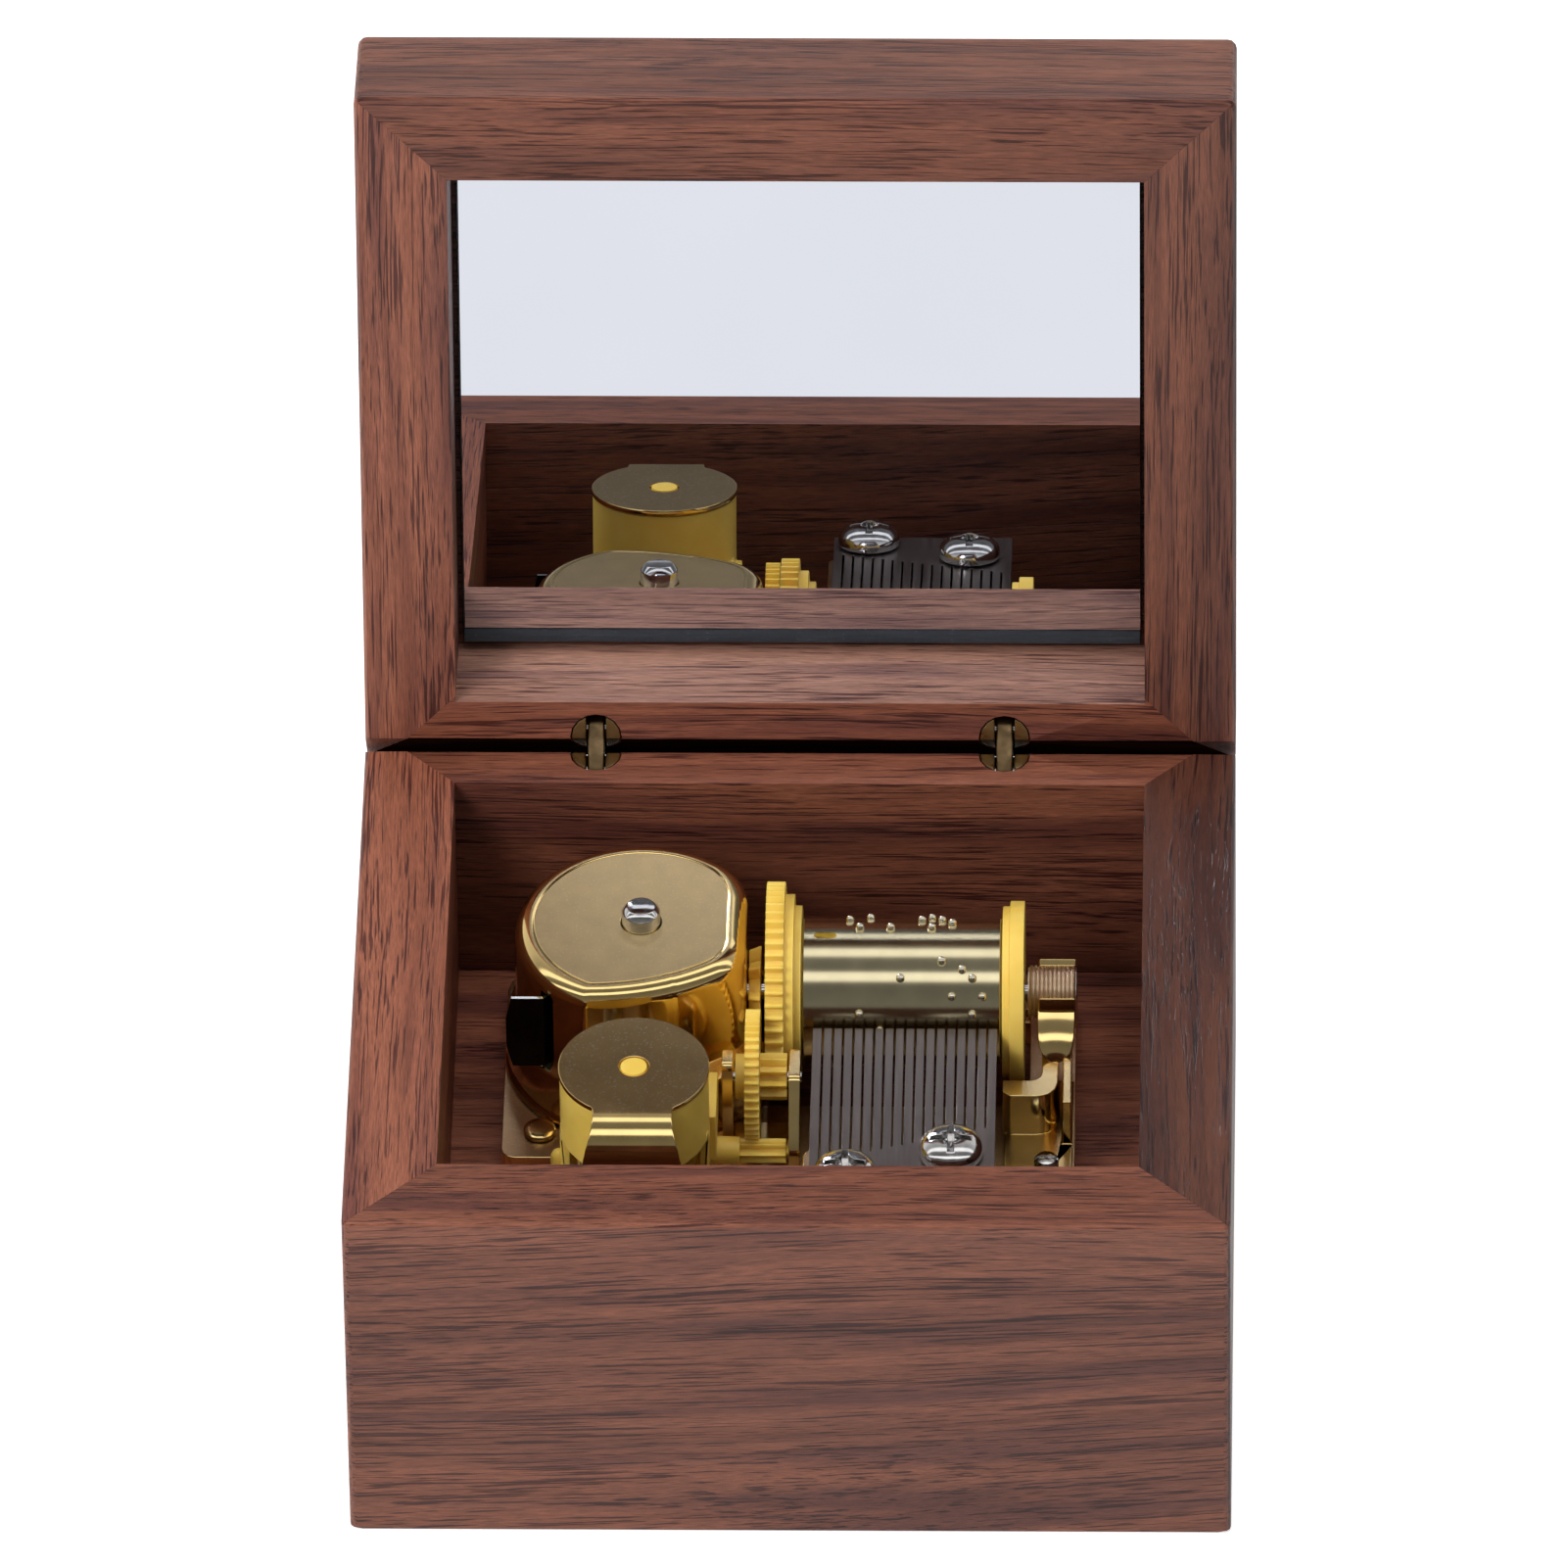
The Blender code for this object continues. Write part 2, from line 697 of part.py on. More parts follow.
def build_bedplate():
    notch_x, notch_y = plate_notch
    step_x = comb_right + 0.6
    outline = filleted([(plate_left, plate_back, plate_back_corner), (plate_left, notch_y, plate_corner),
                        (notch_x, notch_y, plate_corner / 2), (notch_x, plate_front, plate_corner),
                        (step_x, plate_front, plate_corner), (step_x, plate_step, plate_corner / 2),
                        (plate_right, plate_step, plate_corner),
                        (plate_right, plate_back, plate_back_corner)])
    drop = cylinder_height - plate_top
    gear_reach = math.sqrt((train_module * (cylinder_teeth / 2 + 1)) ** 2 - drop ** 2) + 0.5
    window_left = gear_left - 0.35
    window_right = bush_left + 0.1
    cylinder_window = [(window_left, -gear_reach), (window_right, -gear_reach), (window_right, gear_reach),
                       (window_left, gear_reach)]
    half = worm_module * 2
    near = third_y - worm_window_reach
    far = third_y + worm_window_reach
    worm_window = [(governor_x - half, near), (governor_x + half, near),
                   (governor_x + half, far), (governor_x - half, far)]
    screw_holes = [circle(point, screw_radius + screw_clearance, 8) for point in mounting_points]
    holes = [cylinder_window, worm_window, circle((arbor_x, 0), arbor_radius + fit_gap),
             circle(rivet_point, rivet_radius), circle((governor_x, governor_y), pivot_radius + bore_fit),
             circle(bracket_screw_point, bracket_screw_radius + bore_fit)] + screw_holes
    steps = []
    for point in mounting_points:
        wide_hole = circle(point, screw_radius + screw_clearance + 0.15, 8)
        foot = plate([circle(point, foot_radius), wide_hole], fit_gap, plate_top - plate_thickness / 2)
        steps.append(add(foot))
    pedestal_top = comb_top - comb_thickness - fit_gap
    right = comb_right - 0.1
    front = comb_front + 0.3
    corners = [(pedestal_left, front), (right, front), (right, pedestal_back[1]),
               (pedestal_left, pedestal_back[0])]
    block = filleted([(x, y, pedestal_corner) for x, y in corners], 2)
    comb_holes = [circle(point, screw_radius + bore_fit) for point in comb_screws.values()]
    pedestal = plate([block] + comb_holes, plate_top - 0.5, pedestal_top)
    steps.append(add(pedestal))
    flat_plate = plate([outline] + holes, plate_top - plate_thickness, plate_top)
    piece("bedplate", flat_plate, PLATED, at=on_floor, steps=steps)


def build_fasteners():
    low = -floor_thickness
    shank = rivet_radius - bore_fit
    plate_low = plate_top - plate_thickness
    head = rivet_head_radius
    rivet = turned([(0, plate_top + 0.65), (shank, plate_top + 0.6), (head, plate_top + 0.35),
                    (head, plate_seat), (shank, plate_seat), (shank, plate_low), (0, plate_low)], 12)
    piece("corner_rivet", rivet, PLATED, at=(rivet_point[0], arbor_y + rivet_point[1], floor_top))
    screw = turned([(0, plate_top - 0.5), (screw_radius, plate_top - 0.5), (screw_radius, low - fit_gap),
                    (wood_screw_head, low - fit_gap), (wood_screw_head - 0.3, low - 1.2), (0, low - 1.5)], 10)
    slot = box((-3, -0.25, low - 2), (3, 0.25, low - 1))
    for number, (x, y) in enumerate(mounting_points, 1):
        place = (x, arbor_y + y, floor_top)
        piece(f"mounting_screw_{number}", screw, BRIGHT_STEEL, at=place, steps=[cut(slot)])


# Spring housing and mainspring

def housing_outline(inset):
    """A round cap with a flat on the cylinder's side and a shallow bow in front."""
    radius = housing_radius - inset
    flat_x = housing_flat - inset
    bow = bow_radius - inset
    toward = math.radians(bow_deg)
    back_off = bow_radius - housing_bow
    centre = (-back_off * math.cos(toward), -back_off * math.sin(toward))
    spread = math.acos((bow ** 2 - radius ** 2 - back_off ** 2) / (2 * radius * back_off))
    bow_start = toward - spread
    flat_top = math.acos(flat_x / radius)
    points = arc((0, 0), radius, math.degrees(flat_top), math.degrees(bow_start) + 360, 18)
    first = math.atan2(radius * math.sin(bow_start) - centre[1], radius * math.cos(bow_start) - centre[0])
    last = -math.acos((flat_x - centre[0]) / bow)
    return points + arc(centre, bow, math.degrees(first), math.degrees(last), 6)[1:]


def build_housing():
    body_low = skirt_top - skirt_plate + 0.1
    shell = plate([housing_outline(0)], body_low, housing_top)
    bm = bmesh.new()
    bm.from_mesh(shell)
    rim = [edge for edge in bm.edges
           if all(vert.co.z > housing_top - 0.01 for vert in edge.verts) and edge.calc_face_angle() > 1]
    bmesh.ops.bevel(bm, geom=rim, offset=housing_shoulder, segments=2, profile=0.5, affect="EDGES")
    shell = mesh_from(bm)
    cavity = plate([housing_outline(housing_wall)], body_low - 1, housing_top - housing_wall)
    inner = housing_radius - housing_wall - 0.4
    skirt_inner = skirt_radius - skirt_wall
    skirt = turned([(inner, skirt_top), (skirt_radius - 0.6, skirt_top), (skirt_radius, skirt_top - 0.6),
                    (skirt_radius, plate_seat), (skirt_inner, plate_seat),
                    (skirt_inner, skirt_top - skirt_plate), (inner, skirt_top - skirt_plate)], 32)
    reach = 20.0
    wheel_side = box((housing_flat - 0.2, -reach, -1), (reach, reach, skirt_top + 0.4))
    bore = rod(arbor_radius + fit_gap, housing_top - 5, housing_top + 5)
    shaft_hole = moved(rod(shaft_radius + bore_fit, 4, reach), (0, 0, cylinder_height), ALONG_X)
    slot = box((housing_radius - 2.2, -0.6, spring_low - fit_gap),
               (housing_radius + 3, 1.0, spring_low + spring_height + fit_gap))
    steps = [cut(cavity), add(skirt), cut(wheel_side), cut(bore), cut(shaft_hole),
             cut(turned_about_z(slot, spring_exit_deg))]
    piece("spring_housing", shell, PLATED, at=(arbor_x, arbor_y, floor_top), steps=steps)


def build_mainspring():
    """A flat spiral whose outer end leaves the housing and turns to the left."""
    outer = housing_bow - housing_wall - 0.9
    inner = arbor_core_radius + running_gap + spring_thickness / 2
    per_turn = 14
    total = spring_turns * per_turn
    start = math.radians(spring_exit_deg)
    lead = start + math.radians(0.9)
    bend = Vector((math.cos(lead), math.sin(lead))) * (housing_radius + 0.75)
    path = [(bend.x - spring_tab, bend.y), tuple(bend), tuple(bend * (housing_radius - 0.2) / bend.length)]
    for i in range(total + 1):
        angle = start + 2 * math.pi * i / per_turn
        radius = outer - (outer - inner) * i / total
        path.append((radius * math.cos(angle), radius * math.sin(angle)))
    band = plate([strip(path, spring_thickness)], spring_low, spring_low + spring_height)
    piece("mainspring", band, BLUED_STEEL, at=(arbor_x, arbor_y, floor_top))


# Winding arbor, drive wheel and key

def build_winding(winding):
    top = housing_top + arbor_rise
    core_top = housing_top - housing_wall - 0.6
    neck = plate_top - 3
    foot = key_low + 1
    profile = [(0, top), (arbor_radius - 0.45, top), (arbor_radius, top - 0.45), (arbor_radius, core_top),
               (arbor_core_radius, core_top), (arbor_core_radius, skirt_top), (arbor_radius, skirt_top),
               (arbor_radius, neck), (arbor_screw_radius, neck), (arbor_screw_radius, foot), (0, foot)]
    piece("winding_arbor", turned(profile, 16), BRIGHT_STEEL, parent=winding)

    # Every tooth points at the apex, where the arbor's axis crosses the cylinder's axis.
    cone_far = bevel_module * math.hypot(bevel_pinion_teeth, bevel_wheel_teeth) / 2
    cone_near = cone_far * bevel_face_share
    slope = math.atan2(bevel_pinion_teeth, bevel_wheel_teeth)
    along = Vector((math.cos(slope), 0, -math.sin(slope)))
    across = Vector((math.sin(slope), 0, math.cos(slope)))
    apex = Vector((0, 0, cylinder_height))
    root_far = apex + along * cone_far - across * bevel_dedendum
    root_near = apex + along * cone_near - across * bevel_dedendum
    low = root_far.z - 1.1
    hub_top = root_near.z + 1.0
    bore = arbor_radius + bore_fit
    blank = turned([(bore, hub_top), (drive_hub_radius, hub_top), (drive_hub_radius, root_near.z),
                    (root_near.x, root_near.z), (root_far.x, root_far.z), (root_far.x, low), (bore, low)],
                   bevel_wheel_teeth)
    lean = math.tan(math.radians(pressure_deg))
    teeth = []
    for number in range(bevel_wheel_teeth):
        tooth = box((0, -1, -1), (1, 1, 1))
        for vert in tooth.vertices:
            reach = cone_far if vert.co.x > 0.5 else cone_near
            lift = bevel_addendum if vert.co.z > 0 else -bevel_dedendum - 0.4
            half = (math.pi * bevel_module / 2 - bevel_backlash) / 2 * reach / cone_far - lift * lean
            vert.co = apex + along * reach + across * lift + Vector((0, vert.co.y * half, 0))
        teeth.append(turned_about_z(tooth, 360 * (number + 0.5) / bevel_wheel_teeth))
    piece("drive_wheel", blank, PLATED, parent=winding, steps=[add(gathered(teeth))])

    hub = rod(key_hub_radius, key_low, key_top)
    wing_z = key_low - key_wing_height / 2 + 0.6
    round_radius = key_wing_height / 2
    half = key_wing_width / 2 - round_radius
    wing = arc((half, 0), round_radius, -90, 90, 6) + arc((-half, 0), round_radius, 90, 270, 6)
    finger_holes = [circle((side * half, 0), round_radius * 0.56, 10) for side in (-1, 1)]
    wing = plate([wing] + finger_holes, -key_wing_thickness / 2, key_wing_thickness / 2)
    bore = rod(arbor_screw_radius + bore_fit, foot - fit_gap, key_top + 1)
    steps = [add(moved(wing, (0, 0, wing_z), ALONG_Y)), cut(bore)]
    piece("winding_key", hub, BRIGHT_STEEL, parent=winding, steps=steps)


# Pinned cylinder with its gear, flanges, drive pinion and shaft

def note_pins():
    """Round pins on the tube, at the tune's beats and at a rule's beats where it is hidden."""
    notes = list(tune)
    for beat in range(first_hidden_beat, first_hidden_beat + hidden_beats):
        notes.append((beat * 7 % tine_count, beat))
    pins = []
    for tine, beat in notes:
        stem = moved(rod(pin_radius, tube_radius - 0.3, tube_radius + pin_rise, 5), turn=ALONG_X)
        stem = moved(stem, (0, 0, comb_left + (tine + 0.5) * tine_pitch))
        pins.append(turned_about_z(stem, 2.5 + 360 * beat / beats))
    return gathered(pins)


def build_cylinder(cylinder):
    inner = tube_radius - tube_wall
    bore = shaft_radius + bore_fit
    tube = turned([(tube_radius, tube_right), (tube_radius, tube_left),
                   (inner, tube_left), (inner, tube_right)], 32)
    near = tube_left + notch_start + notch_width / 2
    far = tube_left + notch_start + notch_length - notch_width / 2
    oval = arc((far, 0), notch_width / 2, -90, 90, 5) + arc((near, 0), notch_width / 2, 90, 270, 5)
    notch = plate([oval], inner - 1, tube_radius + 1)
    steps = [add(moved(note_pins(), turn=ALONG_X)), cut(notch)]
    piece("pinned_cylinder", moved(tube, turn=ALONG_X), PLATED, parent=cylinder, steps=steps)

    drill = moved(rod(bore, 2 * arbor_x, 2 * tube_right), turn=ALONG_X)
    outline = gear_outline(cylinder_teeth, train_module, train_module * 0.6, train_module * 1.2,
                           train_backlash, math.degrees(train_angle))
    gear = plate([outline], gear_left, gear_right)
    plug = inner - fit_gap
    face = tube_left - fit_gap
    boss_right = gear_right + 0.84
    gear_middle = gear_right - 0.4
    flange = turned([(0, tube_left + gear_plug_length), (plug, tube_left + gear_plug_length), (plug, face),
                     (flange_radius, face), (flange_radius, boss_right), (boss_radius, boss_right),
                     (boss_radius, gear_middle), (0, gear_middle)], 24)
    piece("cylinder_gear", moved(gear, turn=ALONG_X), PLASTIC, parent=cylinder,
          steps=[add(moved(flange, turn=ALONG_X)), cut(drill)])
    end = tube_right + end_flange_length
    step = tube_right + end_flange_step
    face = tube_right + fit_gap
    inside = tube_right - plug_length
    flange = turned([(bore, end), (end_flange_radius, end), (end_flange_radius, step), (flange_radius, step),
                     (flange_radius, face), (plug, face), (plug, inside), (bore, inside)], 24)
    piece("cylinder_end_flange", moved(flange, turn=ALONG_X), PLASTIC, parent=cylinder)

    far = bevel_module * bevel_wheel_teeth / 2
    near = far * bevel_face_share
    outline = gear_outline(bevel_pinion_teeth, bevel_module, 0.6, 0.62, bevel_backlash, -90)
    pinion = plate([outline, circle((0, 0), bore, 16)], arbor_x + near, arbor_x + far)
    for vert in pinion.vertices:
        if vert.co.z < arbor_x + (near + far) / 2 and vert.co.xy.length > bore + 0.1:
            vert.co.xy *= bevel_face_share
    piece("drive_pinion", moved(pinion, turn=ALONG_X), PLASTIC, parent=cylinder)

    right_end = bush_right + 0.1
    left_end = arbor_x + housing_flat - housing_wall + 0.1
    shaft = turned([(0, right_end), (shaft_radius - 0.15, right_end), (shaft_radius, right_end - 0.2),
                    (shaft_radius, left_end), (0, left_end)], 12)
    piece("cylinder_shaft", moved(shaft, turn=ALONG_X), BRIGHT_STEEL, parent=cylinder)


# Gear train to the governor

def build_train(middle, third):
    facing = math.degrees(train_angle) + 180 + 180 / pinion_teeth
    pinion = plate([gear_outline(pinion_teeth, train_module, train_module * 0.8, train_module * 1.15,
                                 train_backlash, facing)], *train_pinion_span)
    wheel = plate([gear_outline(wheel_teeth, wheel_module, wheel_module * 0.42, wheel_module * 1.25,
                                wheel_backlash, math.degrees(third_angle))], *train_wheel_span)
    hub_left = ear_left + ear_thickness + 0.2
    hub = rod(train_hub_radius, hub_left, train_wheel_span[0] + 0.35)
    drill = rod(pivot_radius + bore_fit, 2 * ear_left, -ear_left, 12)
    steps = [add(moved(pinion, turn=ALONG_X)), add(moved(hub, turn=ALONG_X)), cut(moved(drill, turn=ALONG_X))]
    piece("intermediate_wheel", moved(wheel, turn=ALONG_X), PLASTIC, parent=middle, steps=steps)
    end = ear_right + ear_thickness + 0.1
    shaft = rod(pivot_radius, ear_left - 0.1, end, 12)
    piece("intermediate_shaft", moved(shaft, turn=ALONG_X), BRIGHT_STEEL, parent=middle)

    facing = math.degrees(third_angle) + 180 + 180 / third_teeth
    pinion = plate([gear_outline(third_teeth, wheel_module, wheel_module * 0.85, wheel_module * 1.2,
                                 wheel_backlash, facing)], *third_pinion_span)
    left_post = governor_x - cup_radius
    pivot_end = ear_right + ear_thickness - 0.1
    arbor_end = third_pinion_span[0] + 0.2
    step = left_post + 1.5
    end = left_post + 0.1
    body = turned([(0, pivot_end), (pivot_radius, pivot_end), (pivot_radius, arbor_end), (1.25, arbor_end),
                   (1.45, governor_x + 3.0), (1.3, governor_x + 1.0), (1.3, step),
                   (pivot_radius, step), (pivot_radius, end), (0, end)], 12)
    worm_wheel = plate([gear_outline(worm_wheel_teeth, worm_module, worm_module * 0.62, worm_module * 1.12,
                                     worm_module * 0.75, 180)], governor_x - 0.5, governor_x + 0.5)
    steps = [add(moved(pinion, turn=ALONG_X)), add(moved(worm_wheel, turn=ALONG_X))]
    piece("third_wheel", moved(body, turn=ALONG_X), PLASTIC, parent=third, steps=steps)


def build_gear_bracket():
    """Two upright ears on a foot, with the train's pivot holes."""
    low = plate_seat
    back = mid_y + 1.3
    front = mid_y - 1.5
    nose = third_y - 1.9
    mid_hole = circle((mid_y, mid_z), pivot_radius + bore_fit)
    third_hole = circle((third_y, third_z), pivot_radius + bore_fit)
    outline = filleted([(back, low, 0), (back, ear_top, 0.7), (front, ear_top, 0.7), (front, low, 0)])
    left = plate([outline, mid_hole], ear_left, ear_left + ear_thickness)
    outline = filleted([(back, low, 0), (back, ear_top, 0.7), (mid_y - 3.0, ear_top, 0.9),
                        (nose, third_z + 1.2, 0.9), (nose, low, 0)])
    right = plate([outline, mid_hole, third_hole], ear_right, ear_right + ear_thickness)
    foot = box((ear_left + 0.2, mid_y - 1.4, low), (ear_right + ear_thickness - 0.2, mid_y + 1.2, low + 0.8))
    steps = [add(moved(left, turn=ALONG_X)), add(moved(right, turn=ALONG_X))]
    piece("gear_bracket", foot, PLATED, at=on_floor, steps=steps)


# Governor

def worm_thread(low):
    """One right hand thread, lofted from turned sections, with a groove at the wheel's tooth."""
    root = worm_pitch_radius - worm_module * 1.1
    crest = worm_pitch_radius + worm_module * 0.5
    shares = ((-0.27, root), (-0.11, crest), (0.11, crest), (0.27, root), (0.42, root), (0.58, root))
    outline = [Vector((radius * math.cos(2 * math.pi * share), radius * math.sin(2 * math.pi * share), 0))
               for share, radius in shares]
    per_turn = 10
    lead = math.pi * worm_module
    bm = bmesh.new()
    rings = []
    for i in range(per_turn * worm_turns + 1):
        turn = Matrix.Rotation(2 * math.pi * i / per_turn + math.pi * (1.5 + worm_turns), 3, "Z")
        rise = Vector((0, 0, low + lead * i / per_turn))
        rings.append([bm.verts.new(turn @ point + rise) for point in outline])
    bm.faces.new(rings[0][::-1])
    bm.faces.new(rings[-1])
    for below, above in zip(rings, rings[1:]):
        for k in range(len(outline)):
            after = (k + 1) % len(outline)
            bm.faces.new((below[k], below[after], above[after], above[k]))
    return mesh_from(bm)


def build_worm(worm):
    low = third_z - math.pi * worm_module * worm_turns / 2
    high = third_z + math.pi * worm_module * worm_turns / 2
    top = cap_top - 1.2
    shoulder = cup_bottom + 5.4
    foot = plate_top - 1.2
    collar = cup_bottom - 1.5
    body = turned([(0, top), (pivot_radius, top), (pivot_radius, shoulder), (spindle_radius, shoulder),
                   (spindle_radius, collar), (worm_collar_radius, collar), (worm_collar_radius, high - 0.3),
                   (worm_core_radius, high - 0.3), (worm_core_radius, low + 0.3),
                   (worm_collar_radius, low + 0.3), (worm_collar_radius, low - 0.4),
                   (pivot_radius, plate_seat), (pivot_radius, foot), (0, foot)], 12)
    piece("governor_worm", worm_thread(low), BRIGHT_STEEL, parent=worm, steps=[add(body)])
    bob_radius = cup_radius - cup_wall - 0.6
    hub = rod(1.8, cup_bottom + 1.0, cup_bottom + 4.6)
    arms = box((-bob_radius + 0.9, -0.4, cup_bottom + 2.2), (bob_radius - 0.9, 0.4, cup_bottom + 3.0))
    bob = arc((0, 0), bob_radius, -32, 32, 4) + arc((0, 0), bob_radius - 1.3, 32, -32, 4)
    bob_low, bob_high = (cup_bottom + height for height in weight_span)
    bobs = [turned_about_z(plate([bob], bob_low, bob_high), turn) for turn in (0, 180)]
    drill = rod(spindle_radius + bore_fit, cup_bottom - 2, cup_bottom + 6, 12)
    steps = [add(arms), add(gathered(bobs)), cut(drill)]
    piece("governor_weights", hub, OLD_BRASS, parent=worm, steps=steps)


def build_governor():
    top = cap_top - cap_thickness - fit_gap
    ceiling = top - 0.8
    inner = cup_radius - cup_wall
    boss_top = cap_top + 0.05
    cup = turned([(0, boss_top), (cup_boss_radius, boss_top), (cup_boss_radius, top), (cup_radius, top),
                  (cup_radius, cup_bottom), (0, cup_bottom)], 24)
    post_top = cup_bottom + 1.0
    left_post = box((-cup_radius, -1.5, plate_seat), (-cup_radius + 1.2, 6.4, post_top))
    right_post = box((cup_radius - 1.2, -1.5, plate_seat), (cup_radius - 0.1, 2.6, post_top))
    lug_outline = filleted([(1.0, lug_low, 0), (lug_reach, lug_low, 1.2), (lug_reach, lug_top, 1.6),
                            (1.0, lug_top + 0.8, 0)])
    lug = moved(plate([lug_outline], cup_radius - 1.0, cup_radius + 0.55), turn=ALONG_X)
    hollow = turned([(0, ceiling), (inner, ceiling), (inner, 1.0), (0, 1.0)], 24)
    pivot_hole = rod(pivot_radius + bore_fit, ceiling - 1, cap_top - 0.9, 12)
    third_hole = moved(rod(pivot_radius + bore_fit, -cup_radius - 2, -cup_radius + 2, 12),
                       (0, third_y - governor_y, third_z), ALONG_X)
    steps = [add(left_post), add(right_post), add(lug), cut(hollow), cut(pivot_hole), cut(third_hole)]
    piece("governor_housing", cup, PLASTIC, at=(governor_x, arbor_y + governor_y, floor_top), steps=steps)

    front = -cup_radius - cap_reach
    low = plate_seat + cap_thickness / 2
    level = cap_top - cap_thickness / 2
    path = [(-3.0, level)] + arc((front + cap_bend, level - cap_bend), cap_bend, 90, 180, 4)
    path += arc((front + cap_bend, low + cap_bend), cap_bend, 180, 270, 3) + [(front + 3.2, low)]
    tongue = moved(plate([strip(path, cap_thickness)], -cap_foot / 2, cap_foot / 2), turn=ALONG_X)
    for vert in tongue.vertices:
        if vert.co.y > front + 1.2 and vert.co.z > low + 2:
            vert.co.x *= cap_neck / cap_foot
    disc = plate([circle((0, 0), cup_radius + 0.1, 32)], level - cap_thickness / 2, cap_top)
    hole = rod(cup_boss_radius + fit_gap, cap_top - 3, cap_top + 3)
    piece("governor_cap", disc, PLATED, at=(governor_x, arbor_y + governor_y, floor_top),
          steps=[add(tongue), cut(hole)])


# Comb and its screws

def slot_end(x):
    """The slots reach furthest forward at the low notes on the left."""
    return -25.8 + 5.3 * (x - comb_left) / (comb_right - comb_left)


def build_comb():
    left = comb_left
    right = comb_right - 0.05
    outline = [(left, comb_front), (right, comb_front)]
    for tine in reversed(range(tine_count)):
        start = comb_left + tine * tine_pitch + tine_slot / 2
        end = start + tine_pitch - tine_slot
        if tine == tine_count - 1:
            end = right
        else:
            outline.append((end, slot_end(end)))
        if tine == 0:
            start = left
        outline += [(end, comb_tip), (start, comb_tip)]
        if tine > 0:
            outline.append((start, slot_end(start)))
    holes = [circle(point, screw_radius + screw_clearance) for point in comb_screws.values()]
    relief = box((left - 1, slot_end(comb_right) + 0.9, comb_top - comb_thickness - 1),
                 (right + 1, 0, comb_top - tine_thickness))
    piece("comb", plate([outline] + holes, comb_top - comb_thickness, comb_top), COMB_STEEL, at=on_floor,
          steps=[cut(relief)], flat_sides=True)
    seat = comb_top + fit_gap
    high = seat + screw_head_height
    head = turned([(0, high), (1.3, high - 0.12), (2.25, high - 0.5), (screw_head_radius, seat + 0.5),
                   (screw_head_radius - 0.15, seat), (screw_radius, seat), (screw_radius, comb_top - 6.2),
                   (0, comb_top - 6.4)], 12)
    cross = [box((-1.7, -0.3, seat + 0.75), (1.7, 0.3, seat + 3)),
             box((-0.3, -1.7, seat + 0.7), (0.3, 1.7, seat + 3))]
    for side, (x, y) in comb_screws.items():
        piece(f"comb_screw_{side}", head, BRIGHT_STEEL, at=(x, arbor_y + y, floor_top),
              steps=[cut(tool) for tool in cross])


# Threaded bush and the bracket that cradles it

def build_bearing():
    core = bush_radius - thread_depth
    bore = shaft_radius + bore_fit
    profile = [(bore, bush_right), (core, bush_right)]
    for ridge in range(int(bush_length / thread_pitch)):
        top = bush_right - ridge * thread_pitch
        profile += [(bush_radius, top - thread_pitch / 2), (core, top - thread_pitch)]
    profile += [(core, bush_left), (bore, bush_left)]
    bush = moved(turned(profile, 12), (0, 0, cylinder_height), ALONG_X)
    piece("bearing_bush", bush, PLATED, at=on_floor)

    inner = bush_radius + fit_gap
    outer = inner + cradle_wall
    centre = (0, cylinder_height)
    cradle_right = bush_right - 0.05
    cradle = plate([arc(centre, outer, 150, 385, 14) + arc(centre, inner, 385, 150, 14)],
                   cradle_right - cradle_length, cradle_right)
    outline = filleted([(bracket_left, bracket_wall_back, 0), (bracket_left, bracket_wall_front, 0.8),
                        (bracket_right, bracket_wall_front, bracket_corner), (bracket_right, -3.6, 0),
                        (bracket_right - 1.5, -3.6, 0), (bracket_right - 1.5, bracket_wall_back, 1.0)])
    wall_plate = plate([outline], plate_seat + 0.3, bracket_wall_top)
    neck = box((bracket_right - 1.4, -5.6, bracket_wall_top - 2),
               (bracket_right - 0.1, -2.4, cylinder_height - 1.5))
    foot = filleted([(18.6, -10.7, 0), (18.6, -17.4, 1.2), (24.7, -17.4, 1.2), (24.7, -4.0, 0.4),
                     (22.3, -4.0, 0), (22.3, -10.7, 0)])
    foot = plate([foot, circle(bracket_screw_point, bracket_screw_radius + bore_fit)],
                 plate_seat, bracket_foot_top)
    flange = box((bracket_right + 0.4, flange_front, plate_seat + 0.2),
                 (bracket_right + 1.2, flange_back, bracket_wall_top + 0.4))
    steps = [add(neck), add(moved(cradle, turn=ALONG_X)), add(foot), add(flange)]
    piece("bearing_bracket", wall_plate, PLATED, at=on_floor, steps=steps)
    seat = bracket_foot_top + fit_gap
    low = plate_top - plate_thickness + 0.2
    screw = turned([(0, seat + 0.7), (0.8, seat + 0.6), (bracket_screw_head, seat + 0.3),
                    (bracket_screw_head, seat), (bracket_screw_radius, seat), (bracket_screw_radius, low),
                    (0, low - 0.1)], 12)
    slot = box((-2, -0.15, seat + 0.4), (2, 0.15, seat + 2))
    x, y = bracket_screw_point
    piece("bearing_screw", screw, BRIGHT_STEEL, at=(x, arbor_y + y, floor_top), steps=[cut(slot)])


lid_pivot = pivot("lid_pivot", (0, back_y + lid_pin_y, case_height + lid_pin_z), -open_angle)
link_pivot = pivot("link_pivot", (0, back_y - pin_inset, case_height - pin_depth))
winding_axis = pivot("winding_axis", (arbor_x, arbor_y, floor_top))
cylinder_axis = pivot("cylinder_axis", (0, arbor_y, floor_top + cylinder_height))
middle_axis = pivot("middle_axis", (0, arbor_y + mid_y, floor_top + mid_z))
third_axis = pivot("third_axis", (0, arbor_y + third_y, floor_top + third_z))
worm_axis = pivot("worm_axis", (governor_x, arbor_y + governor_y, floor_top))

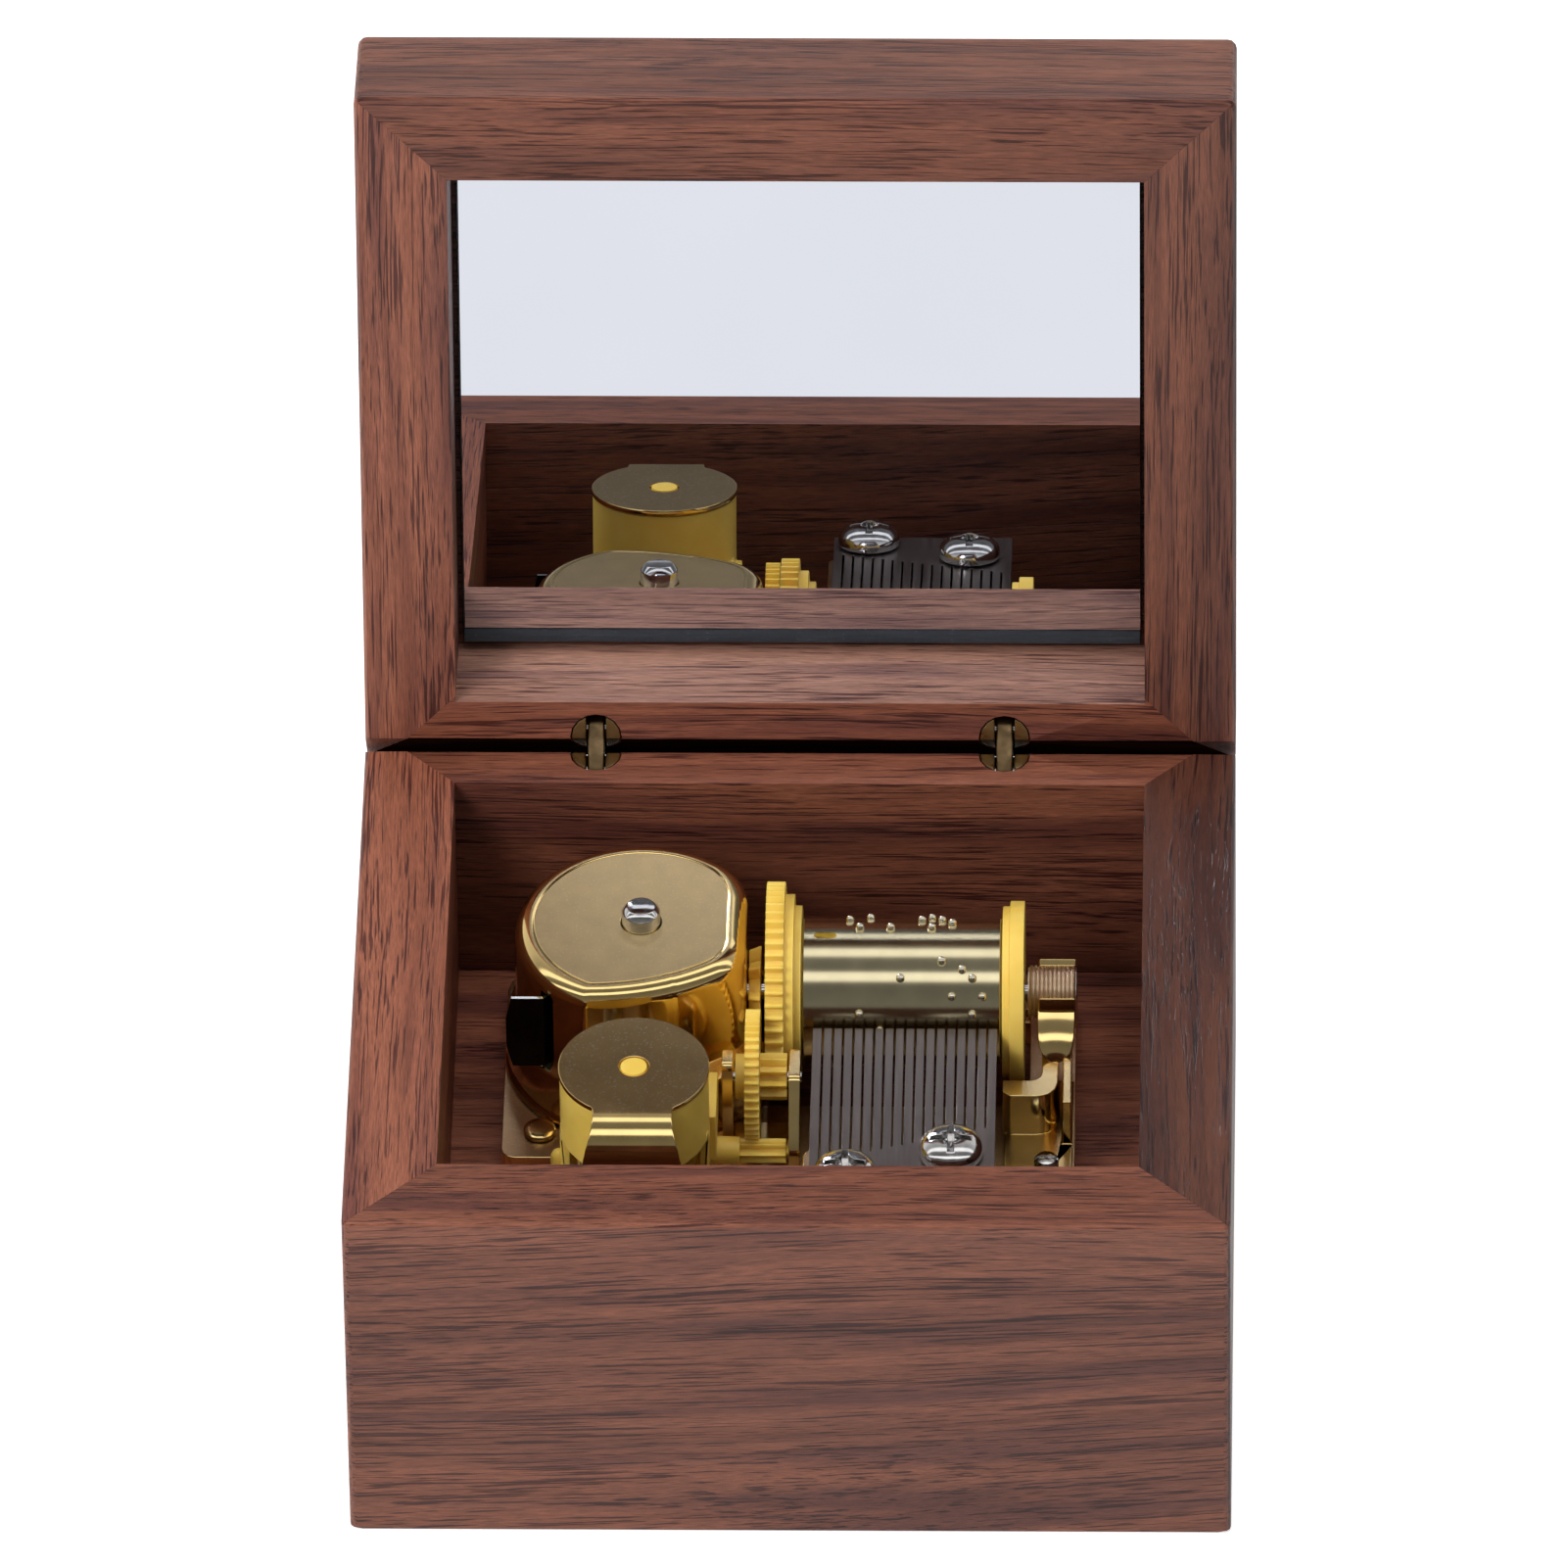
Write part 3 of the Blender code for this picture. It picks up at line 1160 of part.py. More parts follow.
build_case()
build_lid(lid_pivot)
build_hinges(lid_pivot, link_pivot)
build_bedplate()
build_fasteners()
build_housing()
build_mainspring()
build_winding(winding_axis)
build_cylinder(cylinder_axis)
build_train(middle_axis, third_axis)
build_gear_bracket()
build_worm(worm_axis)
build_governor()
build_comb()
build_bearing()
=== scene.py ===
"""Walnut music box with a mirror in its open lid and a spring movement on its floor, dressed for rendering.

The file follows the box as it is put together. Every piece is made in place, in metres, in the CAD model's
own frame. Lengths inside the makers are millimetres, and at() takes them there.
"""

import json
import math

import bmesh
import bpy
from mathutils import Matrix, Vector


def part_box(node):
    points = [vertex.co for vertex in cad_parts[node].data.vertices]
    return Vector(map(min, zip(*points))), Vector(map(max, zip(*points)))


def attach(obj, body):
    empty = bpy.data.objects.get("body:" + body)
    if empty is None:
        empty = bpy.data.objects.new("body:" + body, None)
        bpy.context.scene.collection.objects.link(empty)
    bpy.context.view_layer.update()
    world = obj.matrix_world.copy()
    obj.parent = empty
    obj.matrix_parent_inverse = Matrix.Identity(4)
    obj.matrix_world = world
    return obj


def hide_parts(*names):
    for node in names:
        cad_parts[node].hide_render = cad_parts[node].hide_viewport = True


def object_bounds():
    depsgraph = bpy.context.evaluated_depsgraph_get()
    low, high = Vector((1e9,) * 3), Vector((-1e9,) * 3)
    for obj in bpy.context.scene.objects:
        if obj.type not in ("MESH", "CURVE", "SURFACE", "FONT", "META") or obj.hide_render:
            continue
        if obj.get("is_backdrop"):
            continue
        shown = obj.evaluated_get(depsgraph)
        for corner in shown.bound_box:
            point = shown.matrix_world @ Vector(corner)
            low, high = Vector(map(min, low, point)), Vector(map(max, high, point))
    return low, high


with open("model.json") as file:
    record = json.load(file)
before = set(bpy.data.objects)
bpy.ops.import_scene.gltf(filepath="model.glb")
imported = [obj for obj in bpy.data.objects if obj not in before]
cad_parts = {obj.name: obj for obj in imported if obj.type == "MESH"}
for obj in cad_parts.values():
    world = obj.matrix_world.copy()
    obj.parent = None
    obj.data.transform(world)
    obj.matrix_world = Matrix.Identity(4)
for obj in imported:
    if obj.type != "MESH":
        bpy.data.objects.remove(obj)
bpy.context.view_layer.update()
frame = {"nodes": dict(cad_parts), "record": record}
nodes = frame["nodes"]
scene = bpy.context.scene
scene.view_settings.view_transform = "Standard"


# Camera: a long lens that looks down on the open box from the front, a little to the right. Its place and
# turn were fitted to the photograph together with the size of the box.
pitch, yaw, roll = 0.692070576, 0.0296843686, -0.0152215907
forward = Vector((-math.sin(yaw) * math.cos(pitch), math.cos(yaw) * math.cos(pitch), -math.sin(pitch)))
sideways = Vector((math.cos(yaw), math.sin(yaw), 0.0))
across = sideways * math.cos(roll) + sideways.cross(forward) * math.sin(roll)
above = across.cross(forward)
camera_data = bpy.data.cameras.new("camera")
camera_data.lens = 574.18
camera_data.sensor_width = 36.0
camera_data.clip_end = 20.0
camera = bpy.data.objects.new("camera", camera_data)
camera_turn = Matrix((across, above, -forward)).transposed().to_4x4()
camera.matrix_world = Matrix.Translation((0.04976, -1.70583, 1.46340)) @ camera_turn
scene.collection.objects.link(camera)
scene.camera = camera


# Daylight: an even soft sky lights the surfaces, and the camera sees it as plain white. Metal sees a dark
# ceiling with two long bright windows over a pale room, the bands that the photographed gold plate shows.
def put(tree, kind, inputs=None, **settings):
    """One node, with its settings made and its inputs set or linked."""
    node = tree.nodes.new(kind)
    for key, value in settings.items():
        setattr(node, key, value)
    for key, value in (inputs or {}).items():
        if isinstance(value, bpy.types.NodeSocket):
            tree.links.new(value, node.inputs[key])
        else:
            node.inputs[key].default_value = value
    return node


def ramp(tree, factor, stops):
    """A colour ramp, each stop of which is a place and a grey or a colour."""
    node = put(tree, "ShaderNodeValToRGB", {"Fac": factor})
    for number, (place, shade) in enumerate(stops):
        element = node.color_ramp.elements[number] if number < 2 else node.color_ramp.elements.new(place)
        element.position = place
        element.color = (*shade, 1.0) if isinstance(shade, tuple) else (shade, shade, shade, 1.0)
    return node.outputs["Color"]


def mixed(tree, factor, first, second, blend="MIX"):
    colours = {0: factor, 6: first, 7: second}
    return put(tree, "ShaderNodeMix", colours, data_type="RGBA", blend_type=blend).outputs[2]


def math_node(tree, operation, *values):
    return put(tree, "ShaderNodeMath", dict(enumerate(values)), operation=operation).outputs[0]


def lamp(name, place, size, power):
    """A square lamp aimed at the middle of the box, which metal doesn't mirror."""
    data = bpy.data.lights.new(name, "AREA")
    data.shape = "RECTANGLE"
    data.size = data.size_y = size
    data.energy = power
    obj = bpy.data.objects.new(name, data)
    obj.location = place
    obj.rotation_euler = (Vector((0.0, 0.0, 0.03)) - Vector(place)).to_track_quat("-Z", "Y").to_euler()
    obj.visible_glossy = False
    scene.collection.objects.link(obj)


white = (1.0, 1.0, 1.0, 1.0)
sky_grey = (0.42, 0.42, 0.42, 1.0)
near_window, far_window = 1.5, 1.4
world = bpy.data.worlds.new("studio")
scene.world = world
world.use_nodes = True
sky = world.node_tree
seen_by = put(sky, "ShaderNodeLightPath")
look = put(sky, "ShaderNodeSeparateXYZ", {0: put(sky, "ShaderNodeTexCoord").outputs["Generated"]})
rise = math_node(sky, "ARCTAN2", look.outputs["Z"], math_node(sky, "MULTIPLY", look.outputs["Y"], -1.0))
ceiling = ramp(sky, math_node(sky, "DIVIDE", rise, math.pi), [
    (0.0, 0.8), (0.08, 0.2), (0.30, 0.12), (0.317, near_window), (0.385, near_window), (0.40, 0.15),
    (0.53, 0.2), (0.545, far_window), (0.61, far_window), (0.63, 0.25), (0.75, 0.6), (1.0, 1.0)])
bare = math_node(sky, "MAXIMUM", seen_by.outputs["Is Camera Ray"], seen_by.outputs["Is Transmission Ray"])
room = mixed(sky, seen_by.outputs["Is Glossy Ray"], mixed(sky, bare, sky_grey, white), ceiling)
sky.links.new(room, sky.nodes["Background"].inputs["Color"])
lamp("key", (-0.5, -0.6, 0.72), 0.4, 7.0)
lamp("overhead", (0.1, 0.05, 1.0), 0.6, 4.0)


# Floor: pale paper a hair below the underside of the box. The camera sees it lifted to the white of the
# backdrop, with the box's own shadow kept, and metal and mirror see it plain white.
def new_material(name):
    material = bpy.data.materials.new(name)
    material.use_nodes = True
    tree = material.node_tree
    return material, tree, tree.nodes["Principled BSDF"]


floor_half, floor_drop, floor_lift = 3.0, 0.00005, 0.62
bm = bmesh.new()
bmesh.ops.create_grid(bm, x_segments=1, y_segments=1, size=floor_half)
bmesh.ops.translate(bm, vec=(0, 0, -floor_drop), verts=bm.verts)
floor_mesh = bpy.data.meshes.new("floor")
bm.to_mesh(floor_mesh)
bm.free()
floor = bpy.data.objects.new("floor", floor_mesh)
scene.collection.objects.link(floor)
paper, tree, shader = new_material("floor_paper")
shader.inputs["Base Color"].default_value = (0.86, 0.86, 0.86, 1.0)
shader.inputs["Roughness"].default_value = 0.9
shader.inputs["Specular IOR Level"].default_value = 0.0
path = put(tree, "ShaderNodeLightPath")
glow = put(tree, "ShaderNodeEmission", {"Color": white})
lift = math_node(tree, "MULTIPLY", path.outputs["Is Camera Ray"], floor_lift)
tree.links.new(lift, glow.inputs["Strength"])
both = put(tree, "ShaderNodeAddShader", {0: shader.outputs[0], 1: glow.outputs[0]})
plain = put(tree, "ShaderNodeEmission", {"Color": white, "Strength": 1.0})
mirrored = math_node(tree, "MAXIMUM", path.outputs["Is Glossy Ray"], path.outputs["Is Transmission Ray"])
split = put(tree, "ShaderNodeMixShader", {0: mirrored, 1: both.outputs[0], 2: plain.outputs[0]})
tree.links.new(split.outputs[0], tree.nodes["Material Output"].inputs["Surface"])
floor.data.materials.append(paper)
floor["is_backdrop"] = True


# Case: four walnut boards with mitred corners round a walnut floor panel. The corners are glued up tight, so
# each mitred face reaches to the middle of its joint. Each board has its own turn, so that the grain runs
# along it, its own place in the log and its own shade, which is partly the wood's own tone and partly painted
# light: the left board lighter and the right one darker, as the light falls.
def scaled(tree, vector, scale):
    return put(tree, "ShaderNodeVectorMath", {0: vector, 1: scale}, operation="MULTIPLY").outputs[0]


def noise(tree, vector, scale, detail=2.0, roughness=0.5):
    settings = {"Vector": vector, "Scale": scale, "Detail": detail, "Roughness": roughness}
    return put(tree, "ShaderNodeTexNoise", settings).outputs[0]


def new_group(name, inputs, outputs):
    tree = bpy.data.node_groups.new(name, "ShaderNodeTree")
    for label, kind in inputs:
        tree.interface.new_socket(label, in_out="INPUT", socket_type="NodeSocket" + kind)
    for label, kind in outputs:
        tree.interface.new_socket(label, in_out="OUTPUT", socket_type="NodeSocket" + kind)
    return tree, tree.nodes.new("NodeGroupInput"), tree.nodes.new("NodeGroupOutput")


# The wood, in millimetres: soft bands, streaks and fibres along X, dark figure in places, short open pores.
walnut, given, result = new_group(
    "walnut",
    [("Vector", "Vector"), ("Light", "Color"), ("Dark", "Color")],
    [("Color", "Color"), ("Roughness", "Float"), ("Height", "Float")])
place = given.outputs["Vector"]
waver = (0.0, 6.0, 6.0)
drift = put(walnut, "ShaderNodeTexNoise", {"Vector": scaled(walnut, place, (0.011, 0.045, 0.045)),
                                           "Scale": 1.0, "Detail": 1.0}).outputs["Color"]
centred = put(walnut, "ShaderNodeVectorMath", {0: drift, 1: (0.5, 0.5, 0.5)}, operation="SUBTRACT").outputs[0]
grain = put(walnut, "ShaderNodeVectorMath", {0: centred, 1: waver, 2: place},
            operation="MULTIPLY_ADD").outputs[0]
bands = noise(walnut, scaled(walnut, grain, (0.007, 0.17, 0.17)), 1.0, 2.0)
streaks = noise(walnut, scaled(walnut, grain, (0.025, 0.9, 0.9)), 1.0, 5.0, 0.65)
fibre = noise(walnut, scaled(walnut, grain, (0.55, 11.0, 11.0)), 1.0, 3.0, 0.6)
clusters = noise(walnut, scaled(walnut, grain, (0.03, 0.6, 0.6)), 1.0, 2.0)
pores = noise(walnut, scaled(walnut, grain, (0.105, 5.2, 5.2)), 1.0, 2.0, 0.5)
figure = noise(walnut, scaled(walnut, grain, (0.018, 0.33, 0.33)), 1.0, 3.0, 0.6)
figure_tint, pore_tint = (0.50, 0.46, 0.60, 1.0), (0.30, 0.23, 0.28, 1.0)
shade = math_node(walnut, "ADD", math_node(walnut, "MULTIPLY", bands, 0.5),
                  math_node(walnut, "MULTIPLY", streaks, 0.5))
colour = mixed(walnut, ramp(walnut, shade, [(0.30, 0.0), (0.62, 1.0)]),
               given.outputs["Dark"], given.outputs["Light"])
colour = mixed(walnut, 1.0, colour, ramp(walnut, fibre, [(0.3, 0.64), (0.7, 1.38)]), "MULTIPLY")
figured = ramp(walnut, figure, [(0.46, 0.0), (0.64, 0.9)])
colour = mixed(walnut, figured, colour, mixed(walnut, 1.0, colour, figure_tint, "MULTIPLY"))
pore_level = math_node(walnut, "ADD", pores, math_node(walnut, "MULTIPLY", clusters, 0.35))
pore = ramp(walnut, pore_level, [(0.735, 0.0), (0.80, 1.0)])
colour = mixed(walnut, pore, colour, mixed(walnut, 1.0, colour, pore_tint, "MULTIPLY"))
walnut.links.new(colour, result.inputs["Color"])
walnut.links.new(ramp(walnut, streaks, [(0.3, 0.50), (0.7, 0.38)]), result.inputs["Roughness"])
walnut.links.new(math_node(walnut, "SUBTRACT", math_node(walnut, "MULTIPLY", fibre, 0.3), pore),
                 result.inputs["Height"])


def bumped(tree, shader, height, strength, depth):
    bump = put(tree, "ShaderNodeBump", {"Height": height, "Strength": strength, "Distance": depth})
    tree.links.new(bump.outputs[0], shader.inputs["Normal"])


def cut_walnut(name, turn_deg, log_place, tone_and_painted_light, painted_sheen=None, shine=0.45):
    """Walnut turned and shifted for one board. A painted sheen pales its faces that look up."""
    material, tree, shader = new_material("walnut_" + name)
    turned = put(tree, "ShaderNodeMapping", {
        "Vector": put(tree, "ShaderNodeTexCoord").outputs["Object"], "Location": log_place,
        "Rotation": tuple(math.radians(angle) for angle in turn_deg), "Scale": (1000.0, 1000.0, 1000.0)})
    wood = put(tree, "ShaderNodeGroup", {}, node_tree=walnut)
    tree.links.new(turned.outputs[0], wood.inputs["Vector"])
    # The board's colours are scaled by a number that is partly the wood's own tone and partly painted light
    # and shade.
    wood.inputs["Light"].default_value = (0.235 * tone_and_painted_light, 0.080 * tone_and_painted_light, 0.045 * tone_and_painted_light, 1.0)
    wood.inputs["Dark"].default_value = (0.125 * tone_and_painted_light, 0.039 * tone_and_painted_light, 0.022 * tone_and_painted_light, 1.0)
    colour = wood.outputs["Color"]
    # Painted sheen: faces that look up are made paler, for the sheen that they catch from the light.
    if painted_sheen:
        normal = put(tree, "ShaderNodeTexCoord").outputs["Normal"]
        upward = put(tree, "ShaderNodeSeparateXYZ", {0: normal}).outputs["Z"]
        pale = mixed(tree, 1.0, colour, (*painted_sheen, 1.0), "MULTIPLY")
        colour = mixed(tree, ramp(tree, upward, [(0.93, 0.0), (0.96, 1.0)]), colour, pale)
    tree.links.new(colour, shader.inputs["Base Color"])
    tree.links.new(wood.outputs["Roughness"], shader.inputs["Roughness"])
    bumped(tree, shader, wood.outputs["Height"], 0.6, 0.00006)
    shader.inputs["Specular IOR Level"].default_value = shine
    return material


MM = 0.001
bodies = frame["record"]["behaviour"]["bodies"]
body_of = {node: body for body, members in bodies.items() for node in members}


def as_object(name, bm, material, crease):
    mesh = bpy.data.meshes.new(name)
    bm.to_mesh(mesh)
    bm.free()
    mesh.shade_smooth()
    mesh.set_sharp_from_angle(angle=math.radians(crease))
    mesh.materials.append(material)
    obj = bpy.data.objects.new(name, mesh)
    scene.collection.objects.link(obj)
    return obj


def settled(piece):
    """The piece's modifiers are applied."""
    depsgraph = bpy.context.evaluated_depsgraph_get()
    mesh = bpy.data.meshes.new_from_object(piece.evaluated_get(depsgraph))
    piece.modifiers.clear()
    piece.data = mesh


def goes_with(piece, node):
    """The piece moves with the node's body."""
    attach(piece, body_of[node])


def thickened(piece, thickness):
    sheet = piece.modifiers.new("sheet", "SOLIDIFY")
    sheet.thickness = thickness * MM
    sheet.offset = 0.0
    return sheet


def eased(piece, width, segments, crease):
    softening = piece.modifiers.new("bevel", "BEVEL")
    softening.width = width * MM
    softening.segments = segments
    softening.limit_method = "ANGLE"
    softening.angle_limit = math.radians(crease)
    return softening


def face_outward(bm):
    """All faces turned outward. Their normals are stale after a move, so they are made anew first."""
    bm.normal_update()
    bmesh.ops.recalc_face_normals(bm, faces=bm.faces)


def stands_for(node, bm, material, cutters=(), bevel=0.0, crease=32.0, segments=2, thickness=0.0):
    """A finished piece in the node's stead: walled, cut, eased at its edges and shaded, in that order."""
    face_outward(bm)
    piece = as_object(node + "_detail", bm, material, crease)
    if thickness:
        thickened(piece, thickness).use_even_offset = True
    tools = []
    for cutter in cutters:
        face_outward(cutter)
        tools.append(as_object("cutter", cutter, material, crease))
        cut = piece.modifiers.new("cut", "BOOLEAN")
        cut.object = tools[-1]
        cut.solver = "EXACT"
    if bevel:
        eased(piece, bevel, segments, crease).use_clamp_overlap = False
    settled(piece)
    for tool in tools:
        bpy.data.objects.remove(tool, do_unlink=True)
    piece.data.shade_smooth()
    piece.data.set_sharp_from_angle(angle=math.radians(crease))
    piece.modifiers.new("normals", "WEIGHTED_NORMAL").keep_sharp = True
    settled(piece)
    goes_with(piece, node)
    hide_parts(node)
    return piece


def own_mesh(node, whole_faces=True):
    """The node's own mesh, its triangles joined up and, if wanted, its flat faces made whole."""
    bm = bmesh.new()
    bm.from_mesh(nodes[node].data)
    bmesh.ops.remove_doubles(bm, verts=bm.verts, dist=0.001 * MM)
    if whole_faces:
        bmesh.ops.dissolve_limit(bm, angle_limit=math.radians(1.0), verts=bm.verts, edges=bm.edges)
    return bm


def glued_board(node, wood):
    """The node's board, with its mitred end faces moved out to the middle of the joint."""
    half_joint, least_area = 0.053 * MM, 60.0 * MM ** 2
    bm = own_mesh(node)
    bm.normal_update()
    mitres = [face for face in bm.faces if 0.5 < abs(face.normal.x) < 0.9 and face.calc_area() > least_area]
    for face in mitres:
        bmesh.ops.translate(bm, vec=face.normal * half_joint, verts=face.verts)
    return stands_for(node, bm, wood)


def dress(node, material):
    nodes[node].data.materials.clear()
    nodes[node].data.materials.append(material)


# The last number of each row is partly the board's own tone and partly painted light: the left board lighter,
# the right one darker.
for node, turn_deg, log_place, tone_and_painted_light in (
        ("case_front_board", (0, 2.5, 0), (10, 20, 31), 0.9),
        ("case_back_board", (0, -1, 0), (160, 70, 12), 0.98),
        ("case_left_board", (0, 0, 90), (40, 15, 77), 1.3),
        ("case_right_board", (0, 0, 90), (90, 45, 50), 0.42)):
    glued_board(node, cut_walnut(node, turn_deg, log_place, tone_and_painted_light))
dress("floor_panel", cut_walnut("floor_panel", (0, 0, 0), (260, 130, 5), 1.15))


# Bedplate: stamped steel with gold plate, finely matt on level faces and polished round the edges and sides,
# as on every stamped piece of the movement. Three steel screws come up through the floor to hold it.
plating, given, result = new_group(
    "plating",
    [("Matt", "Float"), ("Polish", "Float"), ("Dull", "Color"), ("Bright", "Color")],
    [("Color", "Color"), ("Roughness", "Float"), ("Height", "Float")])
coords = put(plating, "ShaderNodeTexCoord")
upward = put(plating, "ShaderNodeSeparateXYZ", {0: coords.outputs["Normal"]}).outputs["Z"]
flat = ramp(plating, upward, [(0.985, 0.0), (0.998, 1.0)])
grit = noise(plating, coords.outputs["Object"], 3800.0, 2.0)
cloud = noise(plating, coords.outputs["Object"], 420.0, 3.0)
# Painted glints: pale specks are mixed into the colour of level faces, for the sparkle of the matt plate.
speck = ramp(plating, noise(plating, coords.outputs["Object"], 5200.0, 1.0), [(0.62, 0.0), (0.72, 1.0)])
painted_glint_colour = (0.95, 0.9, 0.72, 1.0)
rough = put(plating, "ShaderNodeMix", {0: flat, 2: given.outputs["Polish"], 3: given.outputs["Matt"]},
            data_type="FLOAT").outputs[0]
uneven = math_node(plating, "MULTIPLY_ADD", math_node(plating, "SUBTRACT", cloud, 0.5), 0.25, 1.0)
plating.links.new(math_node(plating, "MULTIPLY", rough, uneven), result.inputs["Roughness"])
tint = mixed(plating, flat, given.outputs["Bright"], given.outputs["Dull"])
tint = mixed(plating, 1.0, tint, ramp(plating, cloud, [(0.3, 0.92), (0.7, 1.05)]), "MULTIPLY")
painted_glints = math_node(plating, "MULTIPLY", speck, math_node(plating, "MULTIPLY", flat, 0.35))
plating.links.new(mixed(plating, painted_glints, tint, painted_glint_colour), result.inputs["Color"])
plating.links.new(math_node(plating, "MULTIPLY", grit, flat), result.inputs["Height"])


def gold(finish, matt, polish, dull=(0.78, 0.59, 0.31), bright=(0.90, 0.66, 0.28)):
    """Gold plate: the roughness of level faces and of the rest, and the colour of each."""
    material, tree, shader = new_material("gold_plate_" + finish)
    coat = put(tree, "ShaderNodeGroup", {}, node_tree=plating)
    coat.inputs["Matt"].default_value = matt
    coat.inputs["Polish"].default_value = polish
    coat.inputs["Dull"].default_value = (*dull, 1.0)
    coat.inputs["Bright"].default_value = (*bright, 1.0)
    tree.links.new(coat.outputs["Color"], shader.inputs["Base Color"])
    tree.links.new(coat.outputs["Roughness"], shader.inputs["Roughness"])
    bumped(tree, shader, coat.outputs["Height"], 0.35, 0.00003)
    shader.inputs["Metallic"].default_value = 1.0
    return material


def worn_metal(name, colour, low, high, scale):
    """Bare metal, worn unevenly in its colour and in its roughness from low to high."""
    material, tree, shader = new_material(name)
    coords = put(tree, "ShaderNodeTexCoord").outputs["Object"]
    wear = noise(tree, scaled(tree, coords, scale), 1.0, 3.0)
    darker = tuple(channel * 0.8 for channel in colour)
    tree.links.new(ramp(tree, wear, [(0.3, darker), (0.7, colour)]), shader.inputs["Base Color"])
    tree.links.new(ramp(tree, wear, [(0.3, low), (0.7, high)]), shader.inputs["Roughness"])
    bumped(tree, shader, wear, 0.2, 0.00003)
    shader.inputs["Metallic"].default_value = 1.0
    return material


def softened(node, material, bevel, segments=2):
    """The node's own shape with its edges eased."""
    return stands_for(node, own_mesh(node), material, bevel=bevel, segments=segments)


bright_steel = worn_metal("bright_steel", (0.74, 0.73, 0.72), 0.08, 0.18, (1400.0, 1400.0, 1400.0))
softened("bedplate", gold("base", 0.34, 0.16, dull=(0.66, 0.46, 0.27)), 0.1)
for number in (1, 2, 3):
    softened(f"mounting_screw_{number}", bright_steel, 0.08)


# Spring housing: a deep drawn cap of sanded gold plate. It is round, with a flat on the gear's side and a
# shallow bow in front, and its foot flares out to a rolled rim. It is cut open beside the gear, and slit for
# the outer end of the spring.
arbor_low, arbor_high = (Vector(corner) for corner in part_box("winding_arbor"))
arbor_x, arbor_y = (arbor_low.xy + arbor_high.xy) / 2 / MM
floor_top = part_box("floor_panel")[1][2] / MM
plate_top = 3.75
axle_height = 11.3
along_x = Matrix(((0, 0, 1, 0), (1, 0, 0, 0), (0, 1, 0, 0), (0, 0, 0, 1)))


def at(x, y, z, turn=Matrix()):
    """Millimetres from the arbor's row and the floor's top, into the frame in metres."""
    return Matrix.Scale(MM, 4) @ Matrix.Translation((x, y + arbor_y, z + floor_top)) @ turn


def spun(profile, place, steps=72, closed=False):
    """A body turned about Z from a profile of radius and height pairs, then put in place."""
    bm = bmesh.new()
    verts = [bm.verts.new((radius, 0, height)) for radius, height in profile]
    edges = [bm.edges.new(pair) for pair in zip(verts, verts[1:] + verts[:closed])]
    bmesh.ops.spin(bm, geom=verts + edges, cent=(0, 0, 0), axis=(0, 0, 1), angle=2 * math.pi, steps=steps,
                   use_merge=True)
    bmesh.ops.remove_doubles(bm, verts=bm.verts, dist=0.0001)
    face_outward(bm)
    bm.transform(place)
    return bm


def block(low, high, place):
    bm = bmesh.new()
    bmesh.ops.create_cube(bm, size=1.0)
    bmesh.ops.scale(bm, vec=[b - a for a, b in zip(low, high)], verts=bm.verts)
    bmesh.ops.translate(bm, vec=[(a + b) / 2 for a, b in zip(low, high)], verts=bm.verts)
    bm.transform(place)
    return bm


def round_point(degrees, radius, height):
    angle = math.radians(degrees)
    return (radius * math.cos(angle), radius * math.sin(angle), height)


def cap_reach(degrees, inset):
    """From the arbor to the cap's outline: the round wall, the gear's flat or the bow, the nearest of them."""
    round_radius, gear_flat, bow_radius, bow_offset, bow_side = 11.3, 9.3, 20.0, 10.7, -66.0
    angle = math.radians(degrees)
    reach = round_radius - inset
    if math.cos(angle) > 0.5:
        reach = min(reach, (gear_flat - inset) / math.cos(angle))
    toward = math.cos(angle - math.radians(bow_side)) * -bow_offset
    return min(reach, toward + math.sqrt(toward ** 2 - bow_offset ** 2 + (bow_radius - inset) ** 2))


def cap_point(degrees, inset, height):
    """A point of the outline. The corners beside the gear are rounded, by the mean of nine reaches."""
    spread = 3.0 if math.cos(math.radians(degrees)) > 0.35 else 0.0
    reach = sum(cap_reach(degrees + spread * k, inset) for k in range(-4, 5)) / 9
    return round_point(degrees, reach, height)


def skin(rows, count):
    """A closed skin: a ring of edges, extruded to each row's outline in turn and back to the first."""
    bm = bmesh.new()
    point, size, height = rows[0]
    ring = [bm.verts.new(point(360.0 / count * k, size, height)) for k in range(count)]
    edges = [bm.edges.new(pair) for pair in zip(ring, ring[1:] + ring[:1])]
    for point, size, height in rows[1:] + rows[:1]:
        grown = bmesh.ops.extrude_edge_only(bm, edges=edges)["geom"]
        edges = [item for item in grown if isinstance(item, bmesh.types.BMEdge)]
        for vert in {vert for edge in edges for vert in edge.verts}:
            degrees = round(math.degrees(math.atan2(vert.co.y, vert.co.x)), 2)
            vert.co = point(degrees, size, height)
    bmesh.ops.remove_doubles(bm, verts=bm.verts, dist=0.0001)
    return bm


